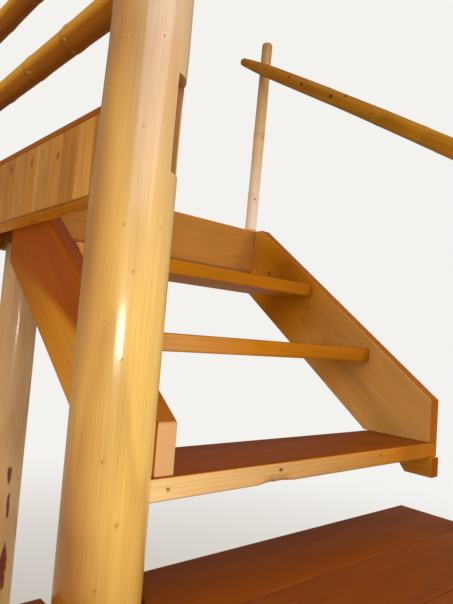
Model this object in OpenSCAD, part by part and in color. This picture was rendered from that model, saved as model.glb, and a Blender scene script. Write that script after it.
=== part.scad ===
// Open plank stair that turns a quarter round a full-height newel log.
// X runs along the upper treads towards the wall, Y is the way the upper flight climbs, Z is up.
// The origin is the centre of the newel log's foot, on the ground.

/* [Newel log] */
// Mean diameter of the full-height logs
newel_d = 172; // [150:1:200]
// Height of the full-height logs above the landing floor
newel_over = 1080; // [1000:1:1300]
// Depth of the flat seats cut on a log for the boards fixed to it
seat_cut = 3; // [2:0.5:6]
// Depth of the housings cut in the newel log for tread 1 and the edge beam
newel_housing = 30; // [20:1:45]
// Height of the unused housing in the newel's near side
old_housing_h = 209; // [150:1:240]
// How far the unused housing stands above the gallery's underside
old_housing_lift = 10; // [0:1:20]
// Distance of the unused housing's end from the newel's centre
old_housing_end = 31; // [20:1:45]
// Distance of the unused housing's back from the newel's centre
old_housing_back = 30; // [20:1:45]

/* [Timber] */
// Thickness of treads, stringers, headers and platform planks
plank_t = 50; // [40:1:60]
// Depth of a tread, front to back
tread_d = 250; // [225:1:270]
// Depth of a stringer board, measured square to its edges
stringer_d = 274; // [250:1:300]
// Depth of bearers, joists and ledgers
bearer_d = 147; // [120:1:180]
// Thickness of floor boards, edge cladding and soffit
board_t = 18; // [15:1:25]
// Size of the eased edge on planks
ease = 3; // [1:0.5:5]

/* [Width] */
// Clear width between the stringers of a flight
clear_w = 1058; // [850:1:1300]
// Depth of the housing that a stringer has for each tread
tread_housing = 12; // [8:1:18]

/* [Heights] */
// Height of the platform above the ground
platform_z = 1060; // [900:10:1300]
// Rise from the platform to tread 1
rise_1 = 245; // [200:1:300]
// Rise from tread 1 to tread 2
rise_2 = 303; // [250:1:330]
// Rise from tread 2 to tread 3
rise_3 = 249; // [220:1:300]
// Rise from tread 3 to the landing floor
rise_4 = 263; // [240:1:320]
// Height of a stringer's upper edge above the line through the tread fronts
stringer_cover = 36; // [15:1:50]
// How much lower the upper flight's left stringer is fixed than the right one
left_stringer_drop = 38; // [0:1:50]
// How far the left stringer's foot is cut back behind tread 1's front
left_toe_setback = 11; // [0:1:20]

/* [Goings] */
// Distance of tread 1's front before the newel's centre
tread_1_lead = 44; // [30:1:70]
// Going from tread 1's front to tread 2's front
going_1 = 258; // [230:1:300]
// Going from tread 2's front to tread 3's front
going_2 = 300; // [260:1:340]
// Going from tread 3's front to the header's face
going_3 = 375; // [300:1:420]
// Going of the lower flight
lower_going = 300; // [280:1:340]

/* [Platform] */
// Width of the plank scribed round the newel, with its gap; the others share the rest
first_plank_w = 233; // [190:1:280]
// Gap between platform planks
plank_gap = 2; // [1:0.5:4]
// How far the platform reaches past the newel's centre, to its far edge
platform_reach = 78; // [60:1:85]
// How far the planks stand out past the lower header's face
platform_nosing = 24; // [10:1:40]

/* [Cleat under tread 1] */
// Height of the cleat
cleat_h = 66; // [50:1:90]
// Thickness of the cleat
cleat_t = 45; // [30:1:50]
// Length of the cleat along its top
cleat_top_l = 156; // [120:1:200]
// Length of the cleat along its underside
cleat_foot_l = 100; // [60:1:110]
// How far the cleat stands out in front of tread 1
cleat_lead = 9; // [0:1:15]

/* [Upper landing] */
// Depth of the landing floor, from the header's face to its far edge
landing_d = 911; // [800:1:1200]
// Depth of the upper header board
header_d = 196; // [170:1:230]
// Diameter of the log that supports the landing
support_d = 164; // [140:1:200]
// Distance of the support log's centre from the newel's centre line, towards the wall
support_x = 342; // [250:1:450]
// Distance of the support log's centre behind the header's face
support_y = 611; // [400:1:700]

/* [Guard rails] */
// Diameter of a guard rail log
rail_d = 73; // [60:1:100]
// Height of the lowest rail's centre above the landing floor
rail_1_h = 256; // [200:1:280]
// Spacing of the rails' centres
rail_pitch = 285; // [220:1:300]
// Distance of a rail's first branch whorl from the newel's centre
whorl_lead = 348; // [200:1:400]
// Spacing of the whorls along a rail
whorl_pitch = 282; // [200:1:350]
// Step down in a rail's radius just past each whorl
whorl_step = 3; // [1:0.5:5]

/* [Handrail] */
// Diameter of the handrail at its lower end
handrail_d_low = 66; // [50:1:80]
// Diameter of the handrail at its upper end
handrail_d_top = 60; // [40:1:70]
// Height of the handrail's centre above the landing floor, at the upper pole
handrail_h = 797; // [700:1:900]
// Pitch of the handrail in degrees
handrail_pitch = 31.6; // [28:0.1:38]
// Distance of the handrail's centre from the wall
handrail_wall_gap = 107; // [90:1:140]
// How far the handrail runs past each pole's centre
handrail_over = 85; // [50:1:120]
// Diameter of the handrail's poles
pole_d = 54; // [45:1:76]
// How far a pole's top stands above the handrail's centre
pole_over = 126; // [80:1:160]
// How deep the handrail is bedded in a pole
pole_saddle = 4; // [2:0.5:8]
// Distance of the lower pole before the newel's centre
lower_pole_lead = 221; // [180:1:300]
// Lean of the upper pole towards the stair in degrees
upper_pole_lean = 1.5; // [0:0.1:3]

/* [Hidden] */

$fn = 64;
// Clearance of a scribed or housed joint, and the overrun of a cut past the face it opens
fit_gap = 0.3;
cut = 1;
// Gap between the newel and the platform plank scribed round it
scribe_gap = 3;
// How far a log's flat seat runs past the board fixed on it
seat_over = 10;

newel_r = newel_d / 2;
// Planes across the width of the upper flight
left_out_x = newel_r - seat_cut;
left_in_x = left_out_x + plank_t;
right_in_x = left_in_x + clear_w;
wall_x = right_in_x + plank_t;
// The lower flight is as wide, and lies on the newel's near side
inner_y = -left_out_x;
outer_y = -wall_x;

// Heights of the upper flight
tread_1_z = platform_z + rise_1;
tread_2_z = tread_1_z + rise_2;
tread_3_z = tread_2_z + rise_3;
landing_z = tread_3_z + rise_4;
newel_h = landing_z + newel_over;
joist_z = landing_z - board_t;
soffit_z = landing_z - header_d;
frame_z = platform_z - plank_t;

// Fronts of the upper flight
tread_1_y = -tread_1_lead;
tread_2_y = tread_1_y + going_1;
tread_3_y = tread_2_y + going_2;
header_y = tread_3_y + going_3;
header_back_y = header_y + plank_t;
landing_back_y = header_y + landing_d;

// The upper stringers follow the line from tread 2's front to the header's top
upper_slope = (landing_z - tread_2_z) / (header_y - tread_2_y);
upper_depth = stringer_d / cos(atan(upper_slope));
upper_toe_h = tread_2_z - tread_1_z - upper_slope * going_1 + stringer_cover;
left_toe_h = upper_toe_h - left_stringer_drop;
// Half the width of the newel's seat, and the height where the left stringer leaves it
seat_half_w = sqrt(newel_r * newel_r - left_out_x * left_out_x);
seat_top_z = tread_1_z + left_toe_h + upper_slope * (tread_1_lead + seat_half_w) + seat_over;

// The lower flight has equal rises, and the same toe height at its foot
LOWER_TREADS = 3;
platform_x = -left_out_x - plank_t - platform_nosing;
lower_header_x = -left_out_x - plank_t;
lower_rise = platform_z / (LOWER_TREADS + 1);
lower_slope = lower_rise / lower_going;
lower_depth = stringer_d / cos(atan(lower_slope));
lower_toe_x = platform_x - (platform_z + stringer_cover - upper_toe_h) / lower_slope;

// The first platform plank is as measured, and the others share the rest evenly
PLANKS = 6;
plank_w = (platform_reach - first_plank_w - outer_y) / (PLANKS - 1);

// The near corner post stands inside the corner of the platform's frame
corner_post_y = outer_y + plank_t + left_out_x;

handrail_x = wall_x - handrail_wall_gap;
upper_pole_y = header_y + pole_d / 2;
lower_pole_y = -lower_pole_lead;
handrail_slope = tan(handrail_pitch);
pole_x = handrail_x + pole_d / 2 + handrail_d_top / 2 - pole_saddle;
handrail_start_y = lower_pole_y - handrail_over;
handrail_end_y = upper_pole_y + handrail_over;

function handrail_z(y) = landing_z + handrail_h + handrail_slope * (y - upper_pole_y);

// Outline of a stringer board seen from its side: toe, heel, head and level cut under the floor
function stringer_outline(toe, base, toe_h, slope, depth, head, top) = [
    [toe, base],
    [toe + (depth - toe_h) / slope, base],
    [head, base + toe_h + slope * (head - toe) - depth],
    [head, top],
    [toe + (top - base - toe_h) / slope, top],
    [toe, base + toe_h]];

// Radius of a peeled log: a straight taper with a slow swell along it
LOG_STEPS = 16;
function log_radius(r_foot, r_top, swell, turns, phase, t) =
    r_foot + (r_top - r_foot) * t + swell * sin(360 * turns * t + phase);

// A peeled log along Z with a flat foot and an eased top
module log_shaft(r_foot, r_top, length, swell, turns, phase, top_ease) {
    last_r = log_radius(r_foot, r_top, swell, turns, phase, 1);
    side = [for (i = [0:LOG_STEPS - 1])
        [log_radius(r_foot, r_top, swell, turns, phase, i / LOG_STEPS), length * i / LOG_STEPS]];
    rotate_extrude()
        polygon(concat([[0, 0]], side,
            [[last_r, length - top_ease], [last_r - top_ease, length], [0, length]]));
}

// A plank along X with its four long edges eased
module plank_x(length, depth, thick) {
    e = ease;
    rotate([90, 0, 90])
        linear_extrude(length)
            polygon([[e, 0], [depth - e, 0], [depth, e], [depth, thick - e], [depth - e, thick],
                [e, thick], [0, thick - e], [0, e]]);
}

// The same plank along Y
module plank_y(length, depth, thick) {
    translate([depth, 0, 0])
        rotate([0, 0, 90])
            plank_x(length, depth, thick);
}

// The main log's shape, grown by a clearance where other pieces are scribed to it
module newel_shape(grow) {
    log_shaft(newel_r + 0.5 + grow, newel_r - 1 + grow, newel_h, 0.8, 2.5, 30, 6);
}

module newel_log() {
    color("wheat")
    difference() {
        newel_shape(0);
        // Flat seats for the left stringer and for the platform's header
        translate([left_out_x, -newel_d, tread_1_z])
            cube([newel_d, 2 * newel_d, seat_top_z - tread_1_z]);
        translate([-left_out_x - newel_d, -newel_d, frame_z - bearer_d])
            cube([newel_d, 2 * newel_d, bearer_d]);
        // Housing for the end of tread 1
        translate([newel_r - newel_housing, tread_1_y - fit_gap, tread_1_z - plank_t])
            cube([newel_d, newel_d, plank_t + fit_gap]);
        // Housing for the platform's far bearer
        translate([newel_r - newel_housing - fit_gap, platform_reach - plank_t, frame_z - bearer_d])
            cube([newel_d, newel_d, bearer_d + fit_gap]);
        // Housing for the gallery's edge beam
        translate([board_t, newel_r - newel_housing, soffit_z + board_t])
            cube([newel_d, newel_d, header_d - board_t + fit_gap]);
        // Unused housing for a header board, open to the near side and towards the wall
        translate([old_housing_end, -old_housing_back - newel_d, soffit_z + old_housing_lift])
            cube([newel_d, newel_d, old_housing_h]);
    }
}

module end_newel_log() {
    color("wheat")
    translate([0, landing_back_y, 0])
    difference() {
        log_shaft(newel_r + 1, newel_r - 1, newel_h, 0.8, 2, 80, 6);
        translate([board_t, newel_housing - newel_r - newel_d, soffit_z + board_t])
            cube([newel_d, newel_d, header_d - board_t + fit_gap]);
        // Flat seat for the landing's back beam
        translate([left_out_x, -newel_d, joist_z - bearer_d])
            cube([newel_d, 2 * newel_d, bearer_d]);
    }
}

module end_newel_shape(grow) {
    translate([0, landing_back_y, 0])
        log_shaft(newel_r + 1 + grow, newel_r - 1 + grow, newel_h, 0.8, 2, 80, 6);
}

module platform_post() {
    color("wheat")
    translate([0, corner_post_y, 0])
    difference() {
        log_shaft(newel_r + 1, newel_r, frame_z, 0.8, 1, 10, cut);
        translate([-left_out_x - newel_d, -newel_d, frame_z - bearer_d])
            cube([newel_d, 2 * newel_d, bearer_d + cut]);
        translate([-newel_d, -left_out_x - newel_d, frame_z - bearer_d])
            cube([2 * newel_d, newel_d, bearer_d + cut]);
    }
}

module gallery_support_log() {
    color("wheat")
    translate([support_x, header_y + support_y, 0])
        log_shaft(support_d / 2 + 1, support_d / 2 - 1, joist_z - bearer_d, 0.8, 1.5, 200, cut);
}

// Frame under the platform: boards on edge, all of one depth
module platform_header() {
    color("peru")
    translate([lower_header_x, outer_y, frame_z - bearer_d])
        cube([plank_t, platform_reach - outer_y, bearer_d]);
}

module platform_wall_ledger() {
    color("peru")
    translate([wall_x - plank_t, outer_y, frame_z - bearer_d])
        cube([plank_t, platform_reach - outer_y, bearer_d]);
}

module platform_far_bearer() {
    start = newel_r - newel_housing;
    color("peru")
    translate([start, platform_reach - plank_t, frame_z - bearer_d])
        cube([wall_x - plank_t - start, plank_t, bearer_d]);
}

module platform_near_bearer() {
    start = lower_header_x + plank_t;
    color("peru")
    translate([start, outer_y, frame_z - bearer_d])
        cube([wall_x - plank_t - start, plank_t, bearer_d]);
}

module platform_mid_joist() {
    color("peru")
    translate([(lower_header_x + wall_x) / 2, outer_y + plank_t, frame_z - bearer_d])
        cube([plank_t, platform_reach - plank_t - outer_y - plank_t, bearer_d]);
}

// Line between platform planks i and i + 1, counted from the far edge
function plank_seam(i) = i == 0 ? platform_reach : platform_reach - first_plank_w - (i - 1) * plank_w;

module platform_plank(i) {
    far_y = plank_seam(i - 1);
    near_y = plank_seam(i) + (i < PLANKS ? plank_gap : 0);
    color("sienna")
    difference() {
        translate([platform_x, near_y, frame_z])
            plank_x(wall_x - platform_x, far_y - near_y, plank_t);
        if (i == 1) {
            translate([0, 0, frame_z - cut])
                linear_extrude(plank_t + 2 * cut) {
                    circle(newel_r + scribe_gap);
                    translate([-newel_r - scribe_gap, 0])
                        square([newel_d + 2 * scribe_gap, newel_d]);
                }
        }
    }
}

// Lower flight
module lower_stringer(far_y) {
    color("chocolate")
    difference() {
        translate([0, far_y, 0])
            rotate([90, 0, 0])
                linear_extrude(plank_t)
                    polygon(stringer_outline(lower_toe_x, 0, upper_toe_h, lower_slope, lower_depth,
                        lower_header_x, frame_z));
        for (i = [1:LOWER_TREADS])
            lower_tread_room(i);
    }
}

function lower_tread_x(i) = platform_x - (LOWER_TREADS + 1 - i) * lower_going;

// Space that a lower tread takes in both stringers
module lower_tread_room(i) {
    translate([lower_tread_x(i) - fit_gap, inner_y - plank_t - clear_w - tread_housing,
            i * lower_rise - plank_t])
        cube([tread_d + 2 * fit_gap, clear_w + 2 * tread_housing, plank_t + fit_gap]);
}

module lower_stringer_inner() {
    lower_stringer(inner_y);
}

module lower_stringer_outer() {
    lower_stringer(inner_y - plank_t - clear_w);
}

module lower_tread(i) {
    length = clear_w + 2 * (tread_housing - fit_gap);
    color("darkgoldenrod")
    translate([lower_tread_x(i), inner_y - plank_t - clear_w - tread_housing + fit_gap,
            i * lower_rise - plank_t])
        plank_y(length, tread_d, plank_t);
}

// Tread 1 is let into the newel and reaches the wall, and both upper stringers stand on it
module tread_1() {
    start = newel_r - newel_housing + fit_gap;
    color("darkgoldenrod")
    translate([start, tread_1_y, tread_1_z - plank_t])
        plank_x(wall_x - start, tread_d, plank_t);
}

module tread_1_wall_cleat() {
    top = tread_1_z - plank_t;
    color("goldenrod")
    translate([wall_x - cleat_t, tread_1_y - cleat_lead, top])
        rotate([90, 0, 90])
            linear_extrude(cleat_t)
                polygon([[0, -cleat_h], [cleat_foot_l, -cleat_h], [cleat_top_l, 0], [0, 0]]);
}

// Upper flight
module upper_stringer(start_x, toe_h, setback) {
    color("chocolate")
    difference() {
        translate([start_x, 0, 0])
            rotate([90, 0, 90])
                linear_extrude(plank_t)
                    polygon(stringer_outline(tread_1_y + setback, tread_1_z,
                        toe_h + upper_slope * setback, upper_slope, upper_depth, header_back_y,
                        landing_z));
        upper_tread_room(tread_2_y, tread_2_z);
        upper_tread_room(tread_3_y, tread_3_z);
    }
}

// Space that an upper tread takes in both stringers
module upper_tread_room(front, top) {
    translate([left_in_x - tread_housing, front - fit_gap, top - plank_t])
        cube([clear_w + 2 * tread_housing, tread_d + 2 * fit_gap, plank_t + fit_gap]);
}

module upper_stringer_left() {
    upper_stringer(left_out_x, left_toe_h, left_toe_setback);
}

module upper_stringer_right() {
    upper_stringer(right_in_x, upper_toe_h, 0);
}

module upper_tread(front, top) {
    color("darkgoldenrod")
    translate([left_in_x - tread_housing + fit_gap, front, top - plank_t])
        plank_x(clear_w + 2 * (tread_housing - fit_gap), tread_d, plank_t);
}

// Upper landing
module landing_header() {
    color("tan")
    translate([left_in_x, header_y, soffit_z])
        cube([clear_w, plank_t, header_d]);
}

module landing_joist(mid_x) {
    color("peru")
    translate([mid_x - plank_t / 2, header_back_y, joist_z - bearer_d])
        cube([plank_t, landing_back_y - plank_t - header_back_y, bearer_d]);
}

module landing_joist_left() {
    landing_joist(support_x);
}

module landing_joist_right() {
    landing_joist((support_x + wall_x) / 2);
}

module landing_wall_joist() {
    landing_joist(wall_x - plank_t / 2);
}

module landing_back_beam() {
    start = left_out_x;
    color("peru")
    translate([start, landing_back_y - plank_t, joist_z - bearer_d])
        cube([wall_x - start, plank_t, bearer_d]);
}

module landing_floor() {
    color("burlywood")
    difference() {
        translate([left_out_x, header_back_y, joist_z])
            cube([wall_x - left_out_x, landing_back_y - header_back_y, board_t]);
        end_newel_shape(fit_gap);
    }
}

// Clad edge of the gallery, from the newel to the end log
module gallery_edge_beam() {
    start = newel_r - newel_housing + fit_gap;
    color("peru")
    translate([board_t, start, soffit_z + board_t])
        cube([left_out_x - board_t, landing_back_y - 2 * start, header_d - board_t]);
}

module gallery_strip(size_x, from_z, size_z, end_y) {
    difference() {
        translate([0, newel_r / 2, from_z])
            cube([size_x, end_y - newel_r / 2, size_z]);
        newel_shape(fit_gap);
        end_newel_shape(fit_gap);
    }
}

module gallery_cladding() {
    color("goldenrod")
        gallery_strip(board_t, soffit_z + board_t, header_d - board_t, landing_back_y - newel_r / 2);
}

module gallery_soffit() {
    color("darkorange")
        gallery_strip(left_out_x, soffit_z, board_t, landing_back_y - newel_r / 2);
}

module gallery_cap() {
    color("burlywood")
        gallery_strip(left_out_x, landing_z, board_t, landing_back_y - newel_r / 2);
}

// A peeled pole along Z that swells below each branch whorl and is thinner above it
module whorled_shaft(r_foot, length, first, pitch, step) {
    swell_l = pitch / 4;
    drop_l = 3 * step;
    whorls = [for (z = first; z < length - swell_l; z = z + pitch) z];
    side = [for (i = [0:len(whorls) - 1]) each [
        [r_foot - i * step / 2, whorls[i] - swell_l],
        [r_foot - i * step / 2 + step / 2, whorls[i]],
        [r_foot - (i + 1) * step / 2, whorls[i] + drop_l]]];
    rotate_extrude()
        polygon(concat([[0, 0], [r_foot, 0]], side,
            [[r_foot - len(whorls) * step / 2, length], [0, length]]));
}

// A guard rail log, scribed to both full-height logs, its whorls set off from rail to rail
module guard_rail(i) {
    span = landing_back_y - newel_r;
    first = whorl_lead - newel_r / 2 + (i - 1) * whorl_pitch / 3;
    color("darkkhaki")
    difference() {
        translate([0, newel_r / 2, landing_z + rail_1_h + (i - 1) * rail_pitch])
            rotate([-90, 0, 0])
                whorled_shaft(rail_d / 2 + whorl_step / 2, span, first, whorl_pitch, whorl_step);
        newel_shape(fit_gap);
        end_newel_shape(fit_gap);
    }
}

// Round handrail pole, thicker at its lower end
module handrail_shape(grow) {
    length = (handrail_end_y - handrail_start_y) / cos(handrail_pitch);
    translate([handrail_x, handrail_start_y, handrail_z(handrail_start_y)])
        rotate([handrail_pitch - 90, 0, 0])
            log_shaft(handrail_d_low / 2 + grow, handrail_d_top / 2 + grow, length, 0.5, 2, 0, 6);
}

module handrail() {
    color("olive")
        handrail_shape(0);
}

// A peeled pole with an eased top and a level foot, cut away where the handrail beds in it
module handrail_pole(y, foot_z, lean) {
    color("moccasin")
    difference() {
        translate([pole_x, y, foot_z])
            rotate([lean, 0, 0])
                translate([0, 0, -pole_d])
                    log_shaft(pole_d / 2, pole_d / 2 - 2, handrail_z(y) + pole_over - foot_z + pole_d,
                        0.5, 2, 40, 12);
        translate([pole_x - pole_d, y - pole_d, foot_z - 2 * pole_d])
            cube(2 * pole_d);
        handrail_shape(fit_gap);
    }
}

module upper_handrail_pole() {
    handrail_pole(upper_pole_y, landing_z, upper_pole_lean);
}

module lower_handrail_pole() {
    handrail_pole(lower_pole_y, platform_z, 0);
}

newel_log();
platform_post();
end_newel_log();
gallery_support_log();
platform_header();
platform_wall_ledger();
platform_far_bearer();
platform_near_bearer();
platform_mid_joist();
platform_plank(1);  // platform_plank_1
platform_plank(2);  // platform_plank_2
platform_plank(3);  // platform_plank_3
platform_plank(4);  // platform_plank_4
platform_plank(5);  // platform_plank_5
platform_plank(6);  // platform_plank_6
lower_stringer_inner();
lower_stringer_outer();
lower_tread(1);  // lower_tread_1
lower_tread(2);  // lower_tread_2
lower_tread(3);  // lower_tread_3
tread_1();
tread_1_wall_cleat();
upper_stringer_left();
upper_stringer_right();
upper_tread(tread_2_y, tread_2_z);  // tread_2
upper_tread(tread_3_y, tread_3_z);  // tread_3
landing_header();
landing_joist_left();
landing_joist_right();
landing_wall_joist();
landing_back_beam();
landing_floor();
gallery_edge_beam();
gallery_cladding();
gallery_soffit();
gallery_cap();
guard_rail(1);  // guard_rail_1
guard_rail(2);  // guard_rail_2
guard_rail(3);  // guard_rail_3
upper_handrail_pole();
lower_handrail_pole();
handrail();
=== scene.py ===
"""Quarter-turn open plank stair between full-height peeled logs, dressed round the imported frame.

Every log, pole and board is a surface worked out with numpy on a grid that runs along the piece and
round its section. Sizes are in millimetres until a surface is put into its mesh, which is in metres.
"""

import logging
import math
from dataclasses import dataclass, field
from enum import Enum
from typing import Any, Callable, Optional

import bpy
import numpy as np
from mathutils import Matrix, Vector


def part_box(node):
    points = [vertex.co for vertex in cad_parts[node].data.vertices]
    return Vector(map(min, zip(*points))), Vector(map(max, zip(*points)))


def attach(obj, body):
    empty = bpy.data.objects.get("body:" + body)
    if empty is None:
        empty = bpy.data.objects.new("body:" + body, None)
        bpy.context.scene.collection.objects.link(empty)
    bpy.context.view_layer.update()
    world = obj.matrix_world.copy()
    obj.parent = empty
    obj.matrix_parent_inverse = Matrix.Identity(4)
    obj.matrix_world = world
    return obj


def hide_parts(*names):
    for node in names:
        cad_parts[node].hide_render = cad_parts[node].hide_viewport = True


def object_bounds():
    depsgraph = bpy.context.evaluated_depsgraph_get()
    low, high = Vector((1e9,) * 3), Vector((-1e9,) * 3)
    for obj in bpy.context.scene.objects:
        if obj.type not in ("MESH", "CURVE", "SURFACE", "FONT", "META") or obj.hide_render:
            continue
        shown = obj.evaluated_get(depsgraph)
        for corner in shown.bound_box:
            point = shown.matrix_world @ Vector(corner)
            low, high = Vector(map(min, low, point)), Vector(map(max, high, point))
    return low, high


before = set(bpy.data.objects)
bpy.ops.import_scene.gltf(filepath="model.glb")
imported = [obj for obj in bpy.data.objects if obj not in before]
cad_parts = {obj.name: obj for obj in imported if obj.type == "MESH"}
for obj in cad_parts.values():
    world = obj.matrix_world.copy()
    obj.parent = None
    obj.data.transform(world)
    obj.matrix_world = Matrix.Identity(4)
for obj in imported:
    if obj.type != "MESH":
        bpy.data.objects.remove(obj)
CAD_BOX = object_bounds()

LOG = logging.getLogger("plank_stair")
MM = 0.001
BODY = "root"
TURN = 2 * math.pi
FAR = 1e6
TINY = 1e-6
Pair = tuple[float, float]
Triple = tuple[float, float, float]
Table = tuple[tuple[float, ...], ...]

# Directions: the upper flight climbs ahead, and its carried side is on the right
RIGHT: Triple = (1.0, 0.0, 0.0)
LEFT: Triple = (-1.0, 0.0, 0.0)
AHEAD: Triple = (0.0, 1.0, 0.0)
BACK: Triple = (0.0, -1.0, 0.0)
UP: Triple = (0.0, 0.0, 1.0)
DOWN: Triple = (0.0, 0.0, -1.0)

# How far the grain of each seed's piece is moved along, in mm, so that no two pieces match
LOG_SHIFT = 3100.0
POLE_SHIFT = 2300.0
BOARD_SHIFT = 1700.0


# Finishes


@dataclass(frozen=True)
class WoodFinish:
    """A wood surface: its timber, how it was worked and how the varnish lies on it.

    Thin, amber and thick are its colours under no, half and all of the coats, raw is a fresh cut, and
    late the dark side of a growth ring. Gleam tints the varnish's reflections, and a warm gleam is a
    painted reflection of warm surroundings. The other numbers are shares, or sizes where they end in mm.
    """

    timber: str
    slot: str
    thin: str
    amber: str
    thick: str
    raw: str
    late: str
    knot_rim: str
    knot_heart: str
    ring_mm: float = 6.0
    ring_depth: float = 0.3
    ring_bend_mm: float = 22.0
    streak: float = 0.2
    drift: float = 0.2
    knot_strength: float = 0.9
    gloss: float = 0.42
    coat: float = 0.0
    coat_roughness: float = 0.15
    specular: float = 0.2
    gleam: str = "E0A068"
    relief_mm: float = 0.2


class Finish(Enum):
    """The finishes of the stair, each named for its wood and how it was made."""

    # Drawknife-peeled spruce log under gloss varnish: silky, long faint streaks, tiny knots
    PEELED_SPRUCE_LOG = WoodFinish(
        "peeled spruce log", "peeled_log", thin="D2B084", amber="F4C868", thick="AC6E0E", raw="9A6834",
        late="C88C3C", knot_rim="B0723A", knot_heart="84502A", ring_depth=0.27, ring_bend_mm=10.0,
        drift=0.14, knot_strength=0.7, coat=1.0, coat_roughness=0.16, gleam="FFFFFF")
    # Sawn spruce framing with one thin coat: straight grain, duller than the planed boards
    SAWN_SPRUCE_FRAMING = WoodFinish(
        "sawn spruce framing", "sawn_framing", thin="A8691F", amber="A8691F", thick="9C5A20",
        raw="B98446", late="96561F", knot_rim="6B3512", knot_heart="4A230C", gloss=0.55, coat=0.05,
        specular=0.4, gleam="FFFFFF", relief_mm=0.4)
    # Planed larch deck planks under many coats: deep reddish brown, the warm gleam a painted reflection
    # of warm surroundings
    PLANED_LARCH_DECK = WoodFinish(
        "planed larch deck plank", "platform_plank", thin="904A0E", amber="84400A", thick="7A3A08",
        raw="A8682A", late="602A06", knot_rim="4E210B", knot_heart="351507", specular=0.12)
    # Planed larch treads: pale gold to orange edges, the change along them partly painted light,
    # red-brown tops where the varnish has built up
    PLANED_LARCH_TREAD = WoodFinish(
        "planed larch tread", "tread_plank", thin="F6D08C", amber="C47A12", thick="7E3A08",
        raw="D9A058", late="C07A1C", knot_rim="8A4C1A", knot_heart="4C230C", ring_depth=0.16,
        gloss=0.4, specular=0.15)
    # Planed larch stringers: orange-brown faces, darker arrises that are painted shade
    PLANED_LARCH_STRINGER = WoodFinish(
        "planed larch stringer", "stringer_board", thin="DCA458", amber="C07C18", thick="903E04",
        raw="E6B478", late="8E4A0C", knot_rim="6A3510", knot_heart="43200B", ring_depth=0.16,
        gloss=0.4, specular=0.15)
    # Planed larch block, end grain soaked dark by the varnish
    PLANED_LARCH_CLEAT = WoodFinish(
        "planed larch cleat", "cleat_block", thin="D08A2C", amber="C07C22", thick="9A5C12",
        raw="964C0C", late="9A5A12", knot_rim="5E2E0E", knot_heart="3C1C09", gloss=0.4)
    # Planed spruce header: tan, its warm gleam a painted reflection of warm surroundings
    PLANED_SPRUCE_HEADER = WoodFinish(
        "planed spruce header", "header_board", thin="B87A34", amber="AC7024", thick="A0641C",
        raw="B07A38", late="A86A28", knot_rim="6F3E16", knot_heart="4A260D", ring_depth=0.14,
        gloss=0.4, gleam="F0C898")
    # Tongue-and-groove spruce floor boards, varnished: even brown with dark joints
    GROOVED_SPRUCE_FLOOR = WoodFinish(
        "tongue-and-groove spruce floor", "floor_board", thin="8C4C0C", amber="86460A", thick="80400A",
        raw="A8661C", late="8A4C12", knot_rim="6A3813", knot_heart="47240D", specular=0.13)
    # Tongue-and-groove spruce lining, upright boards with V joints: golden with red streaked knots
    GROOVED_SPRUCE_LINING = WoodFinish(
        "tongue-and-groove spruce lining", "lining_board", thin="CE9648", amber="B4782A",
        thick="9C5C18", raw="B0743A", late="9C5A1A", knot_rim="8A461A", knot_heart="6A2C0C",
        ring_depth=0.36, streak=0.45, drift=0.4, coat=0.1, coat_roughness=0.25, specular=0.3,
        gleam="F0C898")
    # Planed larch soffit board: strong orange
    PLANED_LARCH_SOFFIT = WoodFinish(
        "planed larch soffit", "soffit_board", thin="F0A428", amber="DA8814", thick="A04A06",
        raw="B46C0C", late="A8600A", knot_rim="5E2C0A", knot_heart="3E1B07")
    # Peeled spruce rail log: olive brown above, red brown below, partly painted shade, pale knots in
    # rings
    PEELED_SPRUCE_RAIL = WoodFinish(
        "peeled spruce rail log", "rail_log", thin="D29A34", amber="BE8222", thick="94560E",
        raw="8A5420", late="A06C1A", knot_rim="7A460F", knot_heart="C08A3C", ring_mm=5.0,
        ring_depth=0.14, ring_bend_mm=7.0, streak=0.22, gloss=0.5, specular=0.25, gleam="E8B078")
    # Peeled poplar pole with a thin coat: pale cream, brown branch rings
    PEELED_POPLAR_POLE = WoodFinish(
        "peeled poplar pole", "pale_pole", thin="F2DCC4", amber="D6AE78", thick="A07438", raw="B98A50",
        late="C49A64", knot_rim="A5713C", knot_heart="6A4020", ring_mm=4.0, ring_depth=0.1,
        ring_bend_mm=6.0, streak=0.14, gloss=0.45, coat=0.1, coat_roughness=0.3, specular=0.4,
        gleam="FFFFFF")
    # Peeled spruce handrail, handled smooth: olive gold with dark knots
    PEELED_SPRUCE_HANDRAIL = WoodFinish(
        "peeled spruce handrail", "handrail_pole", thin="CC962E", amber="AE7618", thick="90540C",
        raw="7A3E08", late="805010", knot_rim="5E320F", knot_heart="2E1607", ring_mm=4.0,
        ring_depth=0.28, ring_bend_mm=7.0, streak=0.42, gloss=0.46, specular=0.18)


def linear_colour(code: str) -> tuple[float, float, float, float]:
    """Turn an sRGB hex colour into a linear one.

    Args:
        code: six hex digits, two each for red, green and blue.

    Returns:
        Linear red, green and blue with an alpha of 1.
    """
    values = [int(code[i:i + 2], 16) / 255 for i in (0, 2, 4)]
    red, green, blue = (v / 12.92 if v <= 0.04045 else ((v + 0.055) / 1.055) ** 2.4 for v in values)
    return red, green, blue, 1.0


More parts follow.
